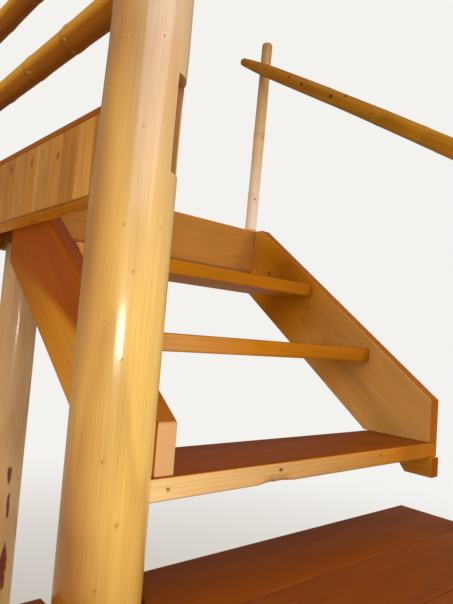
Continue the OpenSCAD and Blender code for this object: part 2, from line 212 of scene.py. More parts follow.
def add_node(tree: bpy.types.NodeTree, kind: str, inputs: Optional[dict[Any, Any]] = None,
             stops: tuple[tuple[float, str], ...] = (), **settings: Any) -> bpy.types.Node:
    """Add one node with its settings, constants and links.

    Args:
        tree: the node tree that it goes into.
        kind: Blender's name for the node type.
        inputs: for each input, by name or number, a constant or the output that it is linked from.
        stops: position and sRGB hex colour of each stop of a colour ramp, in order, two or more.
        settings: the node's own properties.

    Returns:
        The new node.
    """
    node = tree.nodes.new(kind)
    for name, value in settings.items():
        setattr(node, name, value)
    for _ in stops[2:]:
        node.color_ramp.elements.new(1.0)
    for number, (position, code) in enumerate(stops):
        node.color_ramp.elements[number].position = position
        node.color_ramp.elements[number].color = linear_colour(code)
    for name, value in (inputs or {}).items():
        if isinstance(value, bpy.types.NodeSocket):
            tree.links.new(value, node.inputs[name])
        else:
            node.inputs[name].default_value = value
    return node


@dataclass
class WoodShop:
    """Makes each wood's node material once and hands it out.

    A material reads three attributes of its piece: the grain, which is the place in metres along and
    across the pith, the knots' marks, and the dress of coats, cut and shade. On some pieces the coats
    and the shade also carry painted light and shade. The stretches below are cycles a metre, along
    the grain and across it.
    """

    made: dict[Finish, bpy.types.Material] = field(default_factory=dict)
    bend_stretch: Triple = (0.14, 1.0, 1.0)
    bend_scale: float = 11.0
    taper: float = 0.012
    knot_bend_mm: float = 9.0
    fibre_stretch: Triple = (5.0, 240.0, 240.0)
    drift_stretch: Triple = (1.7, 13.0, 13.0)
    # The shade colour: painted shade on some pieces, and also real bark, soil and dark joints
    shade: str = "8A3A18"
    late_line: tuple[tuple[float, str], ...] = ((0.0, "404040"), (0.3, "000000"), (0.82, "FFFFFF"),
                                                (0.9, "F0F0F0"), (1.0, "404040"))

    def material(self, finish: Finish) -> bpy.types.Material:
        """Hand out a finish's material, made on first use.

        Args:
            finish: the finish.

        Returns:
            Its material.
        """
        if finish not in self.made:
            self.made[finish] = self.make(finish.value)
        return self.made[finish]

    def rings(self, tree: bpy.types.NodeTree, wood: WoodFinish, grain: bpy.types.NodeSocket,
              knot: bpy.types.NodeSocket) -> bpy.types.NodeSocket:
        """Growth rings round the pith, so that faces, edges and ends agree.

        A ring is the fraction of the distance from the pith over the ring width, bent by a slow
        noise, by the log's taper and round each knot. Real rings are 1.5 to 3 mm wide, and these are
        drawn wider so that they show.

        Args:
            tree: the node tree that they go into.
            wood: the finish.
            grain: the grain attribute.
            knot: the knots' marks.

        Returns:
            How near each point is to a ring's late wood, from 0 to 1.
        """
        along = add_node(tree, "ShaderNodeSeparateXYZ", {0: grain}).outputs[0]
        slow = add_node(tree, "ShaderNodeVectorMath", {0: grain, 1: self.bend_stretch},
                        operation="MULTIPLY")
        bend = add_node(tree, "ShaderNodeTexNoise", {"Vector": slow.outputs[0], "Scale": self.bend_scale,
                                                     "Detail": 2.0, "Roughness": 0.45})
        flat = add_node(tree, "ShaderNodeVectorMath", {0: grain, 1: (0, 1, 1)}, operation="MULTIPLY")
        radial = add_node(tree, "ShaderNodeVectorMath", {0: flat.outputs[0]}, operation="LENGTH")
        bent = add_node(tree, "ShaderNodeMath", {0: bend.outputs["Fac"], 1: wood.ring_bend_mm * MM,
                                                 2: radial.outputs["Value"]}, operation="MULTIPLY_ADD")
        tapered = add_node(tree, "ShaderNodeMath", {0: along, 1: self.taper, 2: bent.outputs[0]},
                           operation="MULTIPLY_ADD")
        round_knots = add_node(tree, "ShaderNodeMath", {0: knot, 1: self.knot_bend_mm * MM,
                                                        2: tapered.outputs[0]}, operation="MULTIPLY_ADD")
        rings = add_node(tree, "ShaderNodeMath", {0: round_knots.outputs[0], 1: wood.ring_mm * MM},
                         operation="DIVIDE")
        phase = add_node(tree, "ShaderNodeMath", {0: rings.outputs[0]}, operation="FRACT")
        return add_node(tree, "ShaderNodeValToRGB", {0: phase.outputs[0]}, self.late_line).outputs[0]

    def varnished(self, tree: bpy.types.NodeTree, wood: WoodFinish, coats: bpy.types.NodeSocket,
                  late: bpy.types.NodeSocket) -> bpy.types.NodeSocket:
        """Colour of the wood and its rings under the coats of varnish.

        Args:
            tree: the node tree that it goes into.
            wood: the finish.
            coats: how thick the varnish is, from 0 to 1; on some pieces it also carries painted light and
                shade.
            late: the rings' late wood.

        Returns:
            The colour.
        """
        base = add_node(tree, "ShaderNodeValToRGB", {0: coats},
                        ((0.0, wood.thin), (0.5, wood.amber), (1.0, wood.thick)))
        late_tint = add_node(tree, "ShaderNodeMix", {0: coats, 6: linear_colour(wood.late),
                                                     7: linear_colour(wood.thick)}, data_type="RGBA")
        deeper = add_node(tree, "ShaderNodeMix", {0: 0.35, 6: late_tint.outputs[2], 7: (0, 0, 0, 1)},
                          data_type="RGBA")
        late_colour = add_node(tree, "ShaderNodeMix", {0: coats, 6: late_tint.outputs[2],
                                                       7: deeper.outputs[2]}, data_type="RGBA")
        late_part = add_node(tree, "ShaderNodeMath", {0: late, 1: wood.ring_depth}, operation="MULTIPLY")
        return add_node(tree, "ShaderNodeMix", {0: late_part.outputs[0], 6: base.outputs[0],
                                                7: late_colour.outputs[2]}, data_type="RGBA").outputs[2]

    def make(self, wood: WoodFinish) -> bpy.types.Material:
        """Build a solid-wood material with growth rings, fibres, knots and varnish.

        Args:
            wood: the finish.

        Returns:
            The material.
        """
        material = bpy.data.materials.new(wood.timber.replace(" ", "_").replace("-", "_"))
        material.use_nodes = True
        tree = material.node_tree
        tree.nodes.clear()
        grain = add_node(tree, "ShaderNodeAttribute", attribute_name="grain").outputs["Vector"]
        knot = add_node(tree, "ShaderNodeAttribute", attribute_name="knot").outputs["Fac"]
        dress = add_node(tree, "ShaderNodeAttribute", attribute_name="dress").outputs["Vector"]
        coats, cut, dark = add_node(tree, "ShaderNodeSeparateXYZ", {0: dress}).outputs[:3]
        late = self.rings(tree, wood, grain, knot)

        # Fibre streaks: real ones are under 1 mm, drawn 4 mm wide, and broad drifts of colour
        fine = add_node(tree, "ShaderNodeVectorMath", {0: grain, 1: self.fibre_stretch},
                        operation="MULTIPLY")
        fibre = add_node(tree, "ShaderNodeTexNoise", {"Vector": fine.outputs[0], "Scale": 1.0,
                                                      "Detail": 3.0, "Roughness": 0.6}).outputs["Fac"]
        broad = add_node(tree, "ShaderNodeVectorMath", {0: grain, 1: self.drift_stretch},
                         operation="MULTIPLY")
        drift = add_node(tree, "ShaderNodeTexNoise", {"Vector": broad.outputs[0], "Scale": 1.0,
                                                      "Detail": 2.0}).outputs["Fac"]
        lift = add_node(tree, "ShaderNodeMapRange", {0: fibre, 1: 0.3, 2: 0.7,
                                                     3: 1 - wood.streak * 0.5, 4: 1 + wood.streak * 0.25})
        tone = add_node(tree, "ShaderNodeMapRange", {0: drift, 1: 0.3, 2: 0.7, 3: 1 - wood.drift * 0.6,
                                                     4: 1 + wood.drift * 0.4})
        level = add_node(tree, "ShaderNodeMath", {0: lift.outputs[0], 1: tone.outputs[0]},
                         operation="MULTIPLY")
        streaked = add_node(tree, "ShaderNodeVectorMath", {0: self.varnished(tree, wood, coats, late),
                                                           "Scale": level.outputs[0]}, operation="SCALE")
        bare = add_node(tree, "ShaderNodeMix", {0: cut, 6: streaked.outputs[0],
                                                7: linear_colour(wood.raw)}, data_type="RGBA")

        # Knots: a dark rim, a body in the wood's own brown and a darker heart
        knot_colour = add_node(tree, "ShaderNodeValToRGB", {0: knot},
                               ((0.35, wood.knot_rim), (0.6, wood.knot_rim), (0.85, wood.knot_heart)))
        knot_part = add_node(tree, "ShaderNodeMapRange", {0: knot, 1: 0.25, 2: 0.7, 3: 0.0,
                                                          4: wood.knot_strength})
        knotted = add_node(tree, "ShaderNodeMix", {0: knot_part.outputs[0], 6: bare.outputs[2],
                                                   7: knot_colour.outputs[0]}, data_type="RGBA")
        shaded = add_node(tree, "ShaderNodeMix", {0: dark, 6: (1, 1, 1, 1), 7: linear_colour(self.shade)},
                          data_type="RGBA")
        colour = add_node(tree, "ShaderNodeMix", {0: 1.0, 6: knotted.outputs[2], 7: shaded.outputs[2]},
                          data_type="RGBA", blend_type="MULTIPLY")

        # Varnish: a little rougher between the fibres, and dull on a fresh cut
        rough = add_node(tree, "ShaderNodeMapRange", {0: fibre, 1: 0.2, 2: 0.8, 3: wood.gloss + 0.06,
                                                      4: wood.gloss - 0.03})
        dull = add_node(tree, "ShaderNodeMath", {0: cut, 1: 0.25, 2: rough.outputs[0]},
                        operation="MULTIPLY_ADD")
        height = add_node(tree, "ShaderNodeMath", {0: late, 1: 0.5, 2: fibre}, operation="MULTIPLY_ADD")
        bump = add_node(tree, "ShaderNodeBump", {"Strength": 0.5, "Distance": wood.relief_mm * MM,
                                                 "Height": height.outputs[0]})
        shader = add_node(tree, "ShaderNodeBsdfPrincipled", {
            "Base Color": colour.outputs[2], "Roughness": dull.outputs[0],
            "Specular IOR Level": wood.specular, "Specular Tint": linear_colour(wood.gleam),
            "Coat Weight": wood.coat, "Coat Roughness": wood.coat_roughness,
            "Normal": bump.outputs["Normal"]})
        add_node(tree, "ShaderNodeOutputMaterial", {"Surface": shader.outputs[0]})
        return material


# Surfaces


@dataclass
class Surface:
    """One closed surface: points in mm, faces, and what the wood material reads at each point."""

    points: np.ndarray
    faces: list[list[int]]
    grain: np.ndarray
    knot: np.ndarray
    dress: np.ndarray

    @staticmethod
    def of_grid(points: np.ndarray, faces: list[list[int]], grain: np.ndarray, knot: np.ndarray,
                dress: np.ndarray) -> "Surface":
        """Make a surface of values laid out in rows and columns, which its faces number row by row."""
        return Surface(points.reshape(-1, 3), faces, grain.reshape(-1, 3), knot.ravel(),
                       dress.reshape(-1, 3))

    @staticmethod
    def joined(parts: list["Surface"]) -> "Surface":
        """Put several closed surfaces into one piece.

        Args:
            parts: the surfaces.

        Returns:
            One surface with all of them.
        """
        starts = np.cumsum([0] + [len(part.points) for part in parts])
        faces = [[corner + int(start) for corner in face]
                 for part, start in zip(parts, starts) for face in part.faces]
        points, grain, knot, dress = (np.concatenate([getattr(part, name) for part in parts])
                                      for name in ("points", "grain", "knot", "dress"))
        return Surface(points, faces, grain, knot, dress)


def tube_faces(rows: int, columns: int) -> list[list[int]]:
    """Number the quads of a tube whose points are stored row by row.

    Quad (i, j) joins point (i, j) to (i, j + 1), (i + 1, j + 1) and (i + 1, j), the columns closed.

    Args:
        rows: number of rings.
        columns: points in a ring.

    Returns:
        The quads.
    """
    i, j = np.meshgrid(np.arange(rows - 1), np.arange(columns), indexing="ij")
    k = (j + 1) % columns
    quads = np.stack([i * columns + j, i * columns + k, (i + 1) * columns + k, (i + 1) * columns + j], -1)
    return quads.reshape(-1, 4).tolist()


def capped_faces(rows: int, columns: int) -> list[list[int]]:
    """Number the quads of a tube, with one flat face over each end."""
    ring = list(range(columns))
    return tube_faces(rows, columns) + [ring[::-1], [corner + (rows - 1) * columns for corner in ring]]


def read_table(table: Table, place: Any, column: int = 1) -> Any:
    """Read a table at each place, straight between its rows.

    Args:
        table: rows of a place and one or more values, in order of place.
        place: where it is read, one number or an array.
        column: which value of the rows.

    Returns:
        The value at each place.
    """
    rows = np.array(table)
    return np.interp(place, rows[:, 0], rows[:, column])


def between(ends: Pair, share: np.ndarray) -> np.ndarray:
    """The value at each share of the way from the first end to the second."""
    return ends[0] + (ends[1] - ends[0]) * share


def spaced(values: np.ndarray, least: float) -> np.ndarray:
    """Sort the values and drop each that is less than the least step past the one before it."""
    values = np.unique(values)
    return values[np.concatenate([[True], np.diff(values) > least])]


def lobed(lobes: tuple[Triple, ...], angle: np.ndarray, along: np.ndarray,
          phases: np.ndarray) -> np.ndarray:
    """How far a round piece is out of true: the sum of size * sin(count * a + phase + drift * s).

    Args:
        lobes: size, count round the piece and drift along it in radians a mm, of each lobe.
        angle: the angle a of each point.
        along: its distance s along the piece.
        phases: one phase a lobe, or more.

    Returns:
        The sum at each point.
    """
    return sum(size * np.sin(count * angle + phase + along * drift)
               for (size, count, drift), phase in zip(lobes, phases))


def drawn_in(share: np.ndarray, ease: float) -> np.ndarray:
    """How far a rounded arris is drawn in at a share of the way to its end: e (1 - sqrt(1 - t^2))."""
    return ease * (1 - np.sqrt(1 - share ** 2))


@dataclass(frozen=True)
class Knot:
    """A knot: its place on the surface, its radius, and how far it stands proud, in mm."""

    place: Triple
    radius: float
    proud: float = 0.0


def knots_round(marks: list[Triple], radii: Table, proud: float) -> list[Knot]:
    """Place knots on a round piece: (s, r cos a, r sin a), with r the radius at s.

    Args:
        marks: angle a in degrees, distance s along the piece and radius of each knot.
        radii: the piece's radii by distance.
        proud: how far the knots stand proud.

    Returns:
        The knots.
    """
    placed = []
    for turn, along, size in marks:
        radius, angle = float(read_table(radii, along)), math.radians(turn)
        placed.append(Knot((along, radius * math.cos(angle), radius * math.sin(angle)), size, proud))
    return placed


def knot_field(knots: list[Knot], along: np.ndarray, first: np.ndarray, second: np.ndarray,
               stretch: float) -> tuple[np.ndarray, np.ndarray]:
    """Work out how strongly the knots mark each point and how far they lift it.

    The mark of a knot is exp(-d * d), with d the distance from its centre over its radius, the
    distance along the grain divided by the stretch. A point takes the strongest mark. The lift is the
    mark to the power 0.6, which is broader, times how far the knot stands proud.

    Args:
        knots: the knots, placed in the same three coordinates as the points.
        along: the points' coordinate along the grain.
        first: the first coordinate across it.
        second: the second coordinate across it.
        stretch: how much longer than wide a knot is.

    Returns:
        The marks, from 0 to 1, and the lifts in mm.
    """
    mark, lift = np.zeros(along.shape), np.zeros(along.shape)
    for knot in knots:
        a, b, c = knot.place
        d2 = ((along - a) / (stretch * knot.radius)) ** 2 + (
            (first - b) ** 2 + (second - c) ** 2) / knot.radius ** 2
        strength = np.exp(-d2)
        mark = np.maximum(mark, strength)
        lift = lift + knot.proud * strength ** 0.6
    return mark, lift


# Logs and poles


@dataclass(frozen=True)
class FlatCut:
    """A cut in an upright log between two heights: what lies past all its planes is taken away.

    Each plane is (nx, ny, d): the side where nx * x + ny * y > d, from the log's own centre. The skin
    is how far out a ray has left the log, and the rim the radius at which the cut's corners show.
    """

    low: float
    high: float
    planes: tuple[Triple, ...]
    bare: bool = False
    skin: float = 88.0
    rim: float = 86.0

    def limit(self, cos: np.ndarray, sin: np.ndarray) -> np.ndarray:
        """How far out the wood goes in each direction where the cut is.

        A ray at angle a passes plane i at d / (nx cos a + ny sin a). It leaves the wood where it has
        passed them all. A plane already passed at the centre, with d below 0, is left at that point,
        and a ray that leaves it inside the log keeps its wood.

        Args:
            cos: cosine of each direction.
            sin: sine of each direction.

        Returns:
            The distance in mm, or a very large one where the direction isn't cut.
        """
        far = np.full(cos.shape, FAR)
        enter, leave = np.zeros(cos.shape), far.copy()
        for nx, ny, d in self.planes:
            slope = nx * cos + ny * sin
            crossing = d / np.where(np.abs(slope) < TINY, TINY, slope)
            if d >= 0:
                enter = np.where(slope > TINY, np.maximum(enter, crossing), far)
            else:
                leave = np.where(slope < -TINY, np.minimum(leave, crossing), leave)
        return np.where(leave > self.skin, enter, far)

    def corner_angles(self) -> list[float]:
        """Angles of the cut's corners: where its planes meet each other and the log's surface.

        Returns:
            The angles in radians.
        """
        angles: list[float] = []
        for nx, ny, d in self.planes:
            side, base = math.acos(max(-1.0, min(1.0, d / self.rim))), math.atan2(ny, nx)
            angles += [base + side, base - side]
        if len(self.planes) == 2:
            (a, b, c), (d, e, f) = self.planes
            det = a * e - b * d
            angles.append(math.atan2((a * f - c * d) / det, (c * e - b * f) / det))
        return angles


@dataclass
class PeeledLog:
    """An upright peeled log with a slow swell, a slight bow, knots and flat-cut seats.

    Radii, bow and coats are by height. On the shaded side, which the side turn points to in degrees,
    the side tone adds coats and shade by height as painted shade. A knot is (angle, height, radius),
    and wild ones fall anywhere between the angles of the wild zone. A patch of bark is (angle, height,
    half width in degrees, half height). The grid is fine between two heights and two angles, and a
    step is coarse first, then fine.
    """

    node: str
    centre: Pair
    radii: Table
    bow: Table = ((0.0, 0.0), (1.0, 0.0))
    bow_side: Pair = (1.0, 0.0)
    coats: Table = ((0.0, 0.5), (1.0, 0.5))
    # Painted shade: the side it is added on, in degrees, and the coats and shade by height added there
    shaded_side_turn: float = 0.0
    painted_side_shade: Table = ((0.0, 0.0, 0.0), (1.0, 0.0, 0.0))
    soil: float = 0.0
    cuts: tuple[FlatCut, ...] = ()
    knots: tuple[Triple, ...] = ()
    wild_knots: int = 10
    wild_zone: Pair = (-180.0, 180.0)
    bark: Table = ()
    fine: tuple[float, float, float, float] = (0.0, 0.0, 0.0, 0.0)
    seed: int = 1
    top_ease: float = 6.0
    height_steps: Pair = (14.0, 4.5)
    angle_steps: Pair = (4.5, 1.4)
    lobes: tuple[Triple, ...] = ((0.8, 2, 0.0011), (0.45, 3, -0.0019), (0.25, 5, 0.003), (0.5, 0, 0.0052))
    knot_proud: float = 0.6
    knot_stretch: float = 1.3
    wild_size: Pair = (2.6, 4.2)
    wild_margin: float = 80.0
    cut_gap: float = 0.1
    corner_gap: float = 0.002

    @property
    def height(self) -> float:
        """The log's height, its CAD node's."""
        return float(node_box(self.node)[1][2])

    def heights(self) -> np.ndarray:
        """Heights of the rings: close together where the log is seen near, with a pair at each cut.

        Returns:
            The heights in mm.
        """
        low, high = self.fine[:2]
        wide = np.arange(0.0, self.height, self.height_steps[0])
        rows = [wide[(wide <= low) | (wide >= high)], np.arange(low, high, self.height_steps[1]),
                np.array([2.0, self.height - self.top_ease, self.height])]
        rows += [np.array([edge - self.cut_gap, edge + self.cut_gap])
                 for cut in self.cuts for edge in (cut.low, cut.high)]
        z = np.concatenate(rows)
        return spaced(z[(z >= 0) & (z <= self.height)], 1.5 * self.cut_gap)

    def angles(self) -> np.ndarray:
        """Angles of the columns: closer together on the near side, with a pair at each cut corner.

        Returns:
            The angles in radians.
        """
        low, high = self.fine[2:]
        wide = np.arange(-180.0, 180.0, self.angle_steps[0])
        turns = [np.radians(wide[(wide <= low) | (wide >= high)]),
                 np.radians(np.arange(low, high, self.angle_steps[1]))]
        turns += [np.array([corner - self.corner_gap, corner + self.corner_gap])
                  for cut in self.cuts for corner in cut.corner_angles()]
        return spaced(np.mod(np.concatenate(turns) + math.pi, TURN) - math.pi, 1.5 * self.corner_gap)

    def surface(self) -> Surface:
        """Work out the log.

        The radius at angle a and height z is the tapered radius, plus lobes that drift up the log,
        plus the knots' lift, measured from the bowed centre line: c . e + sqrt(r * r - |c x e|^2),
        with c the bow and e the direction. The cuts then limit it, and the top arris is rounded.

        Returns:
            The surface.
        """
        rng = np.random.default_rng(self.seed)
        zz, aa = np.meshgrid(self.heights(), self.angles(), indexing="ij")
        cos, sin = np.cos(aa), np.sin(aa)
        radius = read_table(self.radii, zz)
        lobes = lobed(self.lobes, aa, zz, rng.uniform(0, TURN, 6))
        wild = [(rng.uniform(*self.wild_zone),
                 rng.uniform(self.wild_margin, self.height - self.wild_margin),
                 rng.uniform(*self.wild_size)) for _ in range(self.wild_knots)]
        knots = knots_round([*self.knots, *wild], self.radii, self.knot_proud)
        mark, lift = knot_field(knots, zz, radius * cos, radius * sin, self.knot_stretch)
        shift = read_table(self.bow, zz)
        cx, cy = shift * self.bow_side[0], shift * self.bow_side[1]
        r = radius + lobes + lift
        whole = cx * cos + cy * sin + np.sqrt(r * r - (cx * sin - cy * cos) ** 2)
        r, bare = whole, np.zeros(whole.shape)
        for cut in self.cuts:
            limit = np.where((zz > cut.low) & (zz < cut.high), cut.limit(cos, sin), FAR)
            r = np.minimum(r, limit)
            if cut.bare:
                bare = np.maximum(bare, np.clip(whole - limit, 0, 1))
        r = r - drawn_in(np.clip((zz - self.height) / self.top_ease + 1, 0, 1), self.top_ease)
        points = np.stack([self.centre[0] + r * cos, self.centre[1] + r * sin, zz], -1)
        grain = np.stack([zz + LOG_SHIFT * self.seed, r * cos - cx, r * sin - cy], -1)
        # Painted shade: more coats and shade on the shaded side, the more the nearer a point faces that
        # way
        facing = np.maximum(np.cos(aa - math.radians(self.shaded_side_turn)), 0)
        coats = read_table(self.coats, zz) + read_table(self.painted_side_shade, zz) * facing ** 2
        shade = np.maximum(bare * 0.1, self.bark_left(zz, aa)) + self.soil
        shade = shade + read_table(self.painted_side_shade, zz, 2) * facing
        dress = np.stack([np.clip(coats, 0, 1), bare, np.clip(shade, 0, 1)], -1)
        return Surface.of_grid(points, capped_faces(*r.shape), grain, mark, dress)

    def bark_left(self, z: np.ndarray, angle: np.ndarray) -> np.ndarray:
        """Where thin inner bark is left on the log: ragged upright patches.

        A patch is full where ((a - a0) / wide)^2 + ((z - z0) / high)^2, plus a ragged wave of
        sin(z) sin(a), is under 1, and fades over a short way.

        Args:
            z: the points' heights.
            angle: their angles.

        Returns:
            How much bark shows at each point, from 0 to 0.85.
        """
        left = np.zeros(z.shape)
        for turn, height, wide, high in self.bark:
            across = (angle - math.radians(turn)) / math.radians(wide)
            up = (z - height) / high
            ragged = 0.3 * np.sin(z / 17.0 + turn) * np.sin(angle * 23.0) + 0.12 * np.sin(z / 6.1)
            left = np.maximum(left, np.clip((1 - across ** 2 - up ** 2 + ragged) * 2.0, 0, 0.85))
        return left


@dataclass
class PeeledPole:
    """A thin peeled log or pole along a straight line, with branch whorls.

    The start is its centre line's first point, and up the direction of angle 0. Radii are by distance,
    and a lobe's size is a share of the radius. A knot is (angle, distance, radius), and the first knot
    angle is that of the first whorl's. Under is how many more coats its lower side has: on the rails
    partly real varnish and partly painted shade, and on the handrail, where it is negative, painted
    light from below. Scribe gives how far both ends are cut back to fit a round log, and shape by
    moves the finished points.
    """

    node: str
    start: Triple
    along: Triple
    up: Triple
    length: float
    radii: Table
    whorls: tuple[float, ...] = ()
    whorl_step: float = 1.5
    whorl_shade: float = 0.35
    whorl_width: float = 9.0
    whorl_knots: int = 3
    whorl_tilt: float = 5.0
    swell_length: float = 70.0
    drop_length: float = 9.0
    knots: tuple[Triple, ...] = ()
    first_knot_angle: float = 0.0
    knot_proud: float = 0.9
    knot_stretch: float = 1.15
    knot_scatter: float = 14.0
    knot_before: Pair = (6.0, 22.0)
    knot_share: Pair = (0.16, 0.24)
    whorl_turn: float = 37.0
    whorl_rings: Triple = (-24.0, 26.0, 3.0)
    lobes: tuple[Triple, ...] = ((0.012, 2, 0.002), (0.008, 3, -0.004), (0.01, 0, 0.011))
    bow: float = 0.0
    ease: float = 8.0
    under: float = 0.0
    coats: Pair = (0.3, 0.3)
    seed: int = 1
    columns: int = 56
    pitch: float = 7.0
    scribe: Optional[Callable[[np.ndarray], np.ndarray]] = None
    shape_by: Optional[Callable[[np.ndarray], np.ndarray]] = None

    def distances(self) -> np.ndarray:
        """Distances of the rings: an even pitch, and closer together at whorls and ends.

        Returns:
            The distances in mm.
        """
        ends = np.array([0.0, 1.0, 2.5, self.ease * 0.5, self.ease])
        near = [whorl + np.arange(*self.whorl_rings) for whorl in self.whorls]
        s = np.concatenate([np.arange(0.0, self.length, self.pitch), *near, ends, self.length - ends])
        s = s.round(2)
        return spaced(s[(s >= 0) & (s <= self.length)], 0.4)

    def surface(self) -> Surface:
        """Work out the pole.

        The radius at angle a and distance s is the tapered radius plus its lobes. Up to a whorl it
        swells as (1 - cos(pi t)) / 2 over the swell length, and past the whorl it drops as (1 - t)^2
        over the drop length, along a ring that tilts with sin(a). The centre line bows as a half
        sine over the length.

        Returns:
            The surface.
        """
        rng = np.random.default_rng(self.seed + 40)
        axis, up = np.array(self.along), np.array(self.up)
        theta = np.linspace(-math.pi, math.pi, self.columns, endpoint=False)
        ss, aa = np.meshgrid(self.distances(), theta, indexing="ij")
        cos, sin = np.cos(aa), np.sin(aa)
        base = read_table(self.radii, ss)
        p = rng.uniform(0, TURN, 5)
        r = base + base * lobed(self.lobes, aa, ss, p)
        crease, knots = np.zeros(r.shape), list(self.knots)
        for n, whorl in enumerate(self.whorls):
            past = ss - (whorl + self.whorl_tilt * np.sin(aa + p[3] + 1.9 * n))
            swell = (1 - np.cos(math.pi * np.clip(past / self.swell_length + 1, 0, 1))) / 2
            drop = (1 - np.clip(past / self.drop_length, 0, 1)) ** 2
            r = r + self.whorl_step * np.where(past <= 0, swell, drop)
            crease = np.maximum(crease, np.exp(-((past - 3.0) / self.whorl_width) ** 2)
                                * (0.65 + 0.35 * np.sin(aa + p[4] + n)))
            turn = self.first_knot_angle + self.whorl_turn * n
            knots += [(turn + 360.0 * m / self.whorl_knots
                       + rng.uniform(-self.knot_scatter, self.knot_scatter),
                       whorl - rng.uniform(*self.knot_before),
                       rng.uniform(*self.knot_share) * self.radii[0][1])
                      for m in range(self.whorl_knots)]
        placed = knots_round(knots, self.radii, self.knot_proud)
        mark, lift = knot_field(placed, ss, base * cos, base * sin, self.knot_stretch)
        r = r + lift
        if self.scribe is None:
            from_end = np.minimum(ss, self.length - ss)
            r = r - drawn_in(np.clip(1 - from_end / self.ease, 0, 1), self.ease)
        high, wide = r * cos, r * sin
        cut_back = self.scribe(wide) if self.scribe else np.zeros(r.shape)
        reach = cut_back + (self.length - 2 * cut_back) * ss / self.length
        sag = self.bow * np.sin(math.pi * ss / self.length)
        points = (np.array(self.start) + reach[..., None] * axis + (high + sag)[..., None] * up
                  + wide[..., None] * np.cross(axis, up))
        if self.shape_by is not None:
            points = self.shape_by(points)
        grain = np.stack([ss + POLE_SHIFT * self.seed, high, wide], -1)
        # Coats on the lower side: painted shade where under is positive, painted light where it is
        # negative
        below = np.clip(-cos * 1.6 - 0.1, 0, 1) * self.under
        coats = np.clip(between(self.coats, ss / self.length) + below, 0, 1)
        dress = np.stack([coats, np.zeros(r.shape), crease * self.whorl_shade], -1)
        return Surface(self.with_middles(points), self.fanned_faces(*r.shape), self.with_middles(grain),
                       np.append(mark.ravel(), [0.0, 0.0]), self.with_middles(dress))

    @staticmethod
    def with_middles(grid: np.ndarray) -> np.ndarray:
        """A grid's values in one list, followed by the middles of its first and last rings."""
        return np.concatenate([grid.reshape(-1, 3), grid[:1].mean(1), grid[-1:].mean(1)])

    @staticmethod
    def fanned_faces(rows: int, columns: int) -> list[list[int]]:
        """Number the quads of a tube, with a fan of triangles over each end from its middle.

        Args:
            rows: number of rings.
            columns: points in a ring.

        Returns:
            The faces.
        """
        ring = np.arange(columns)
        following = (ring + 1) % columns
        middle, top = rows * columns, (rows - 1) * columns
        first = np.stack([following, ring, np.full(columns, middle)], -1)
        last = np.stack([ring + top, following + top, np.full(columns, middle + 1)], -1)
        return tube_faces(rows, columns) + first.tolist() + last.tolist()


# Boards


@dataclass(frozen=True)
class TornArris:
    """A torn stretch of a board's arris: where along the board it lies and how deep it is."""

    low: float
    high: float
    depth: float


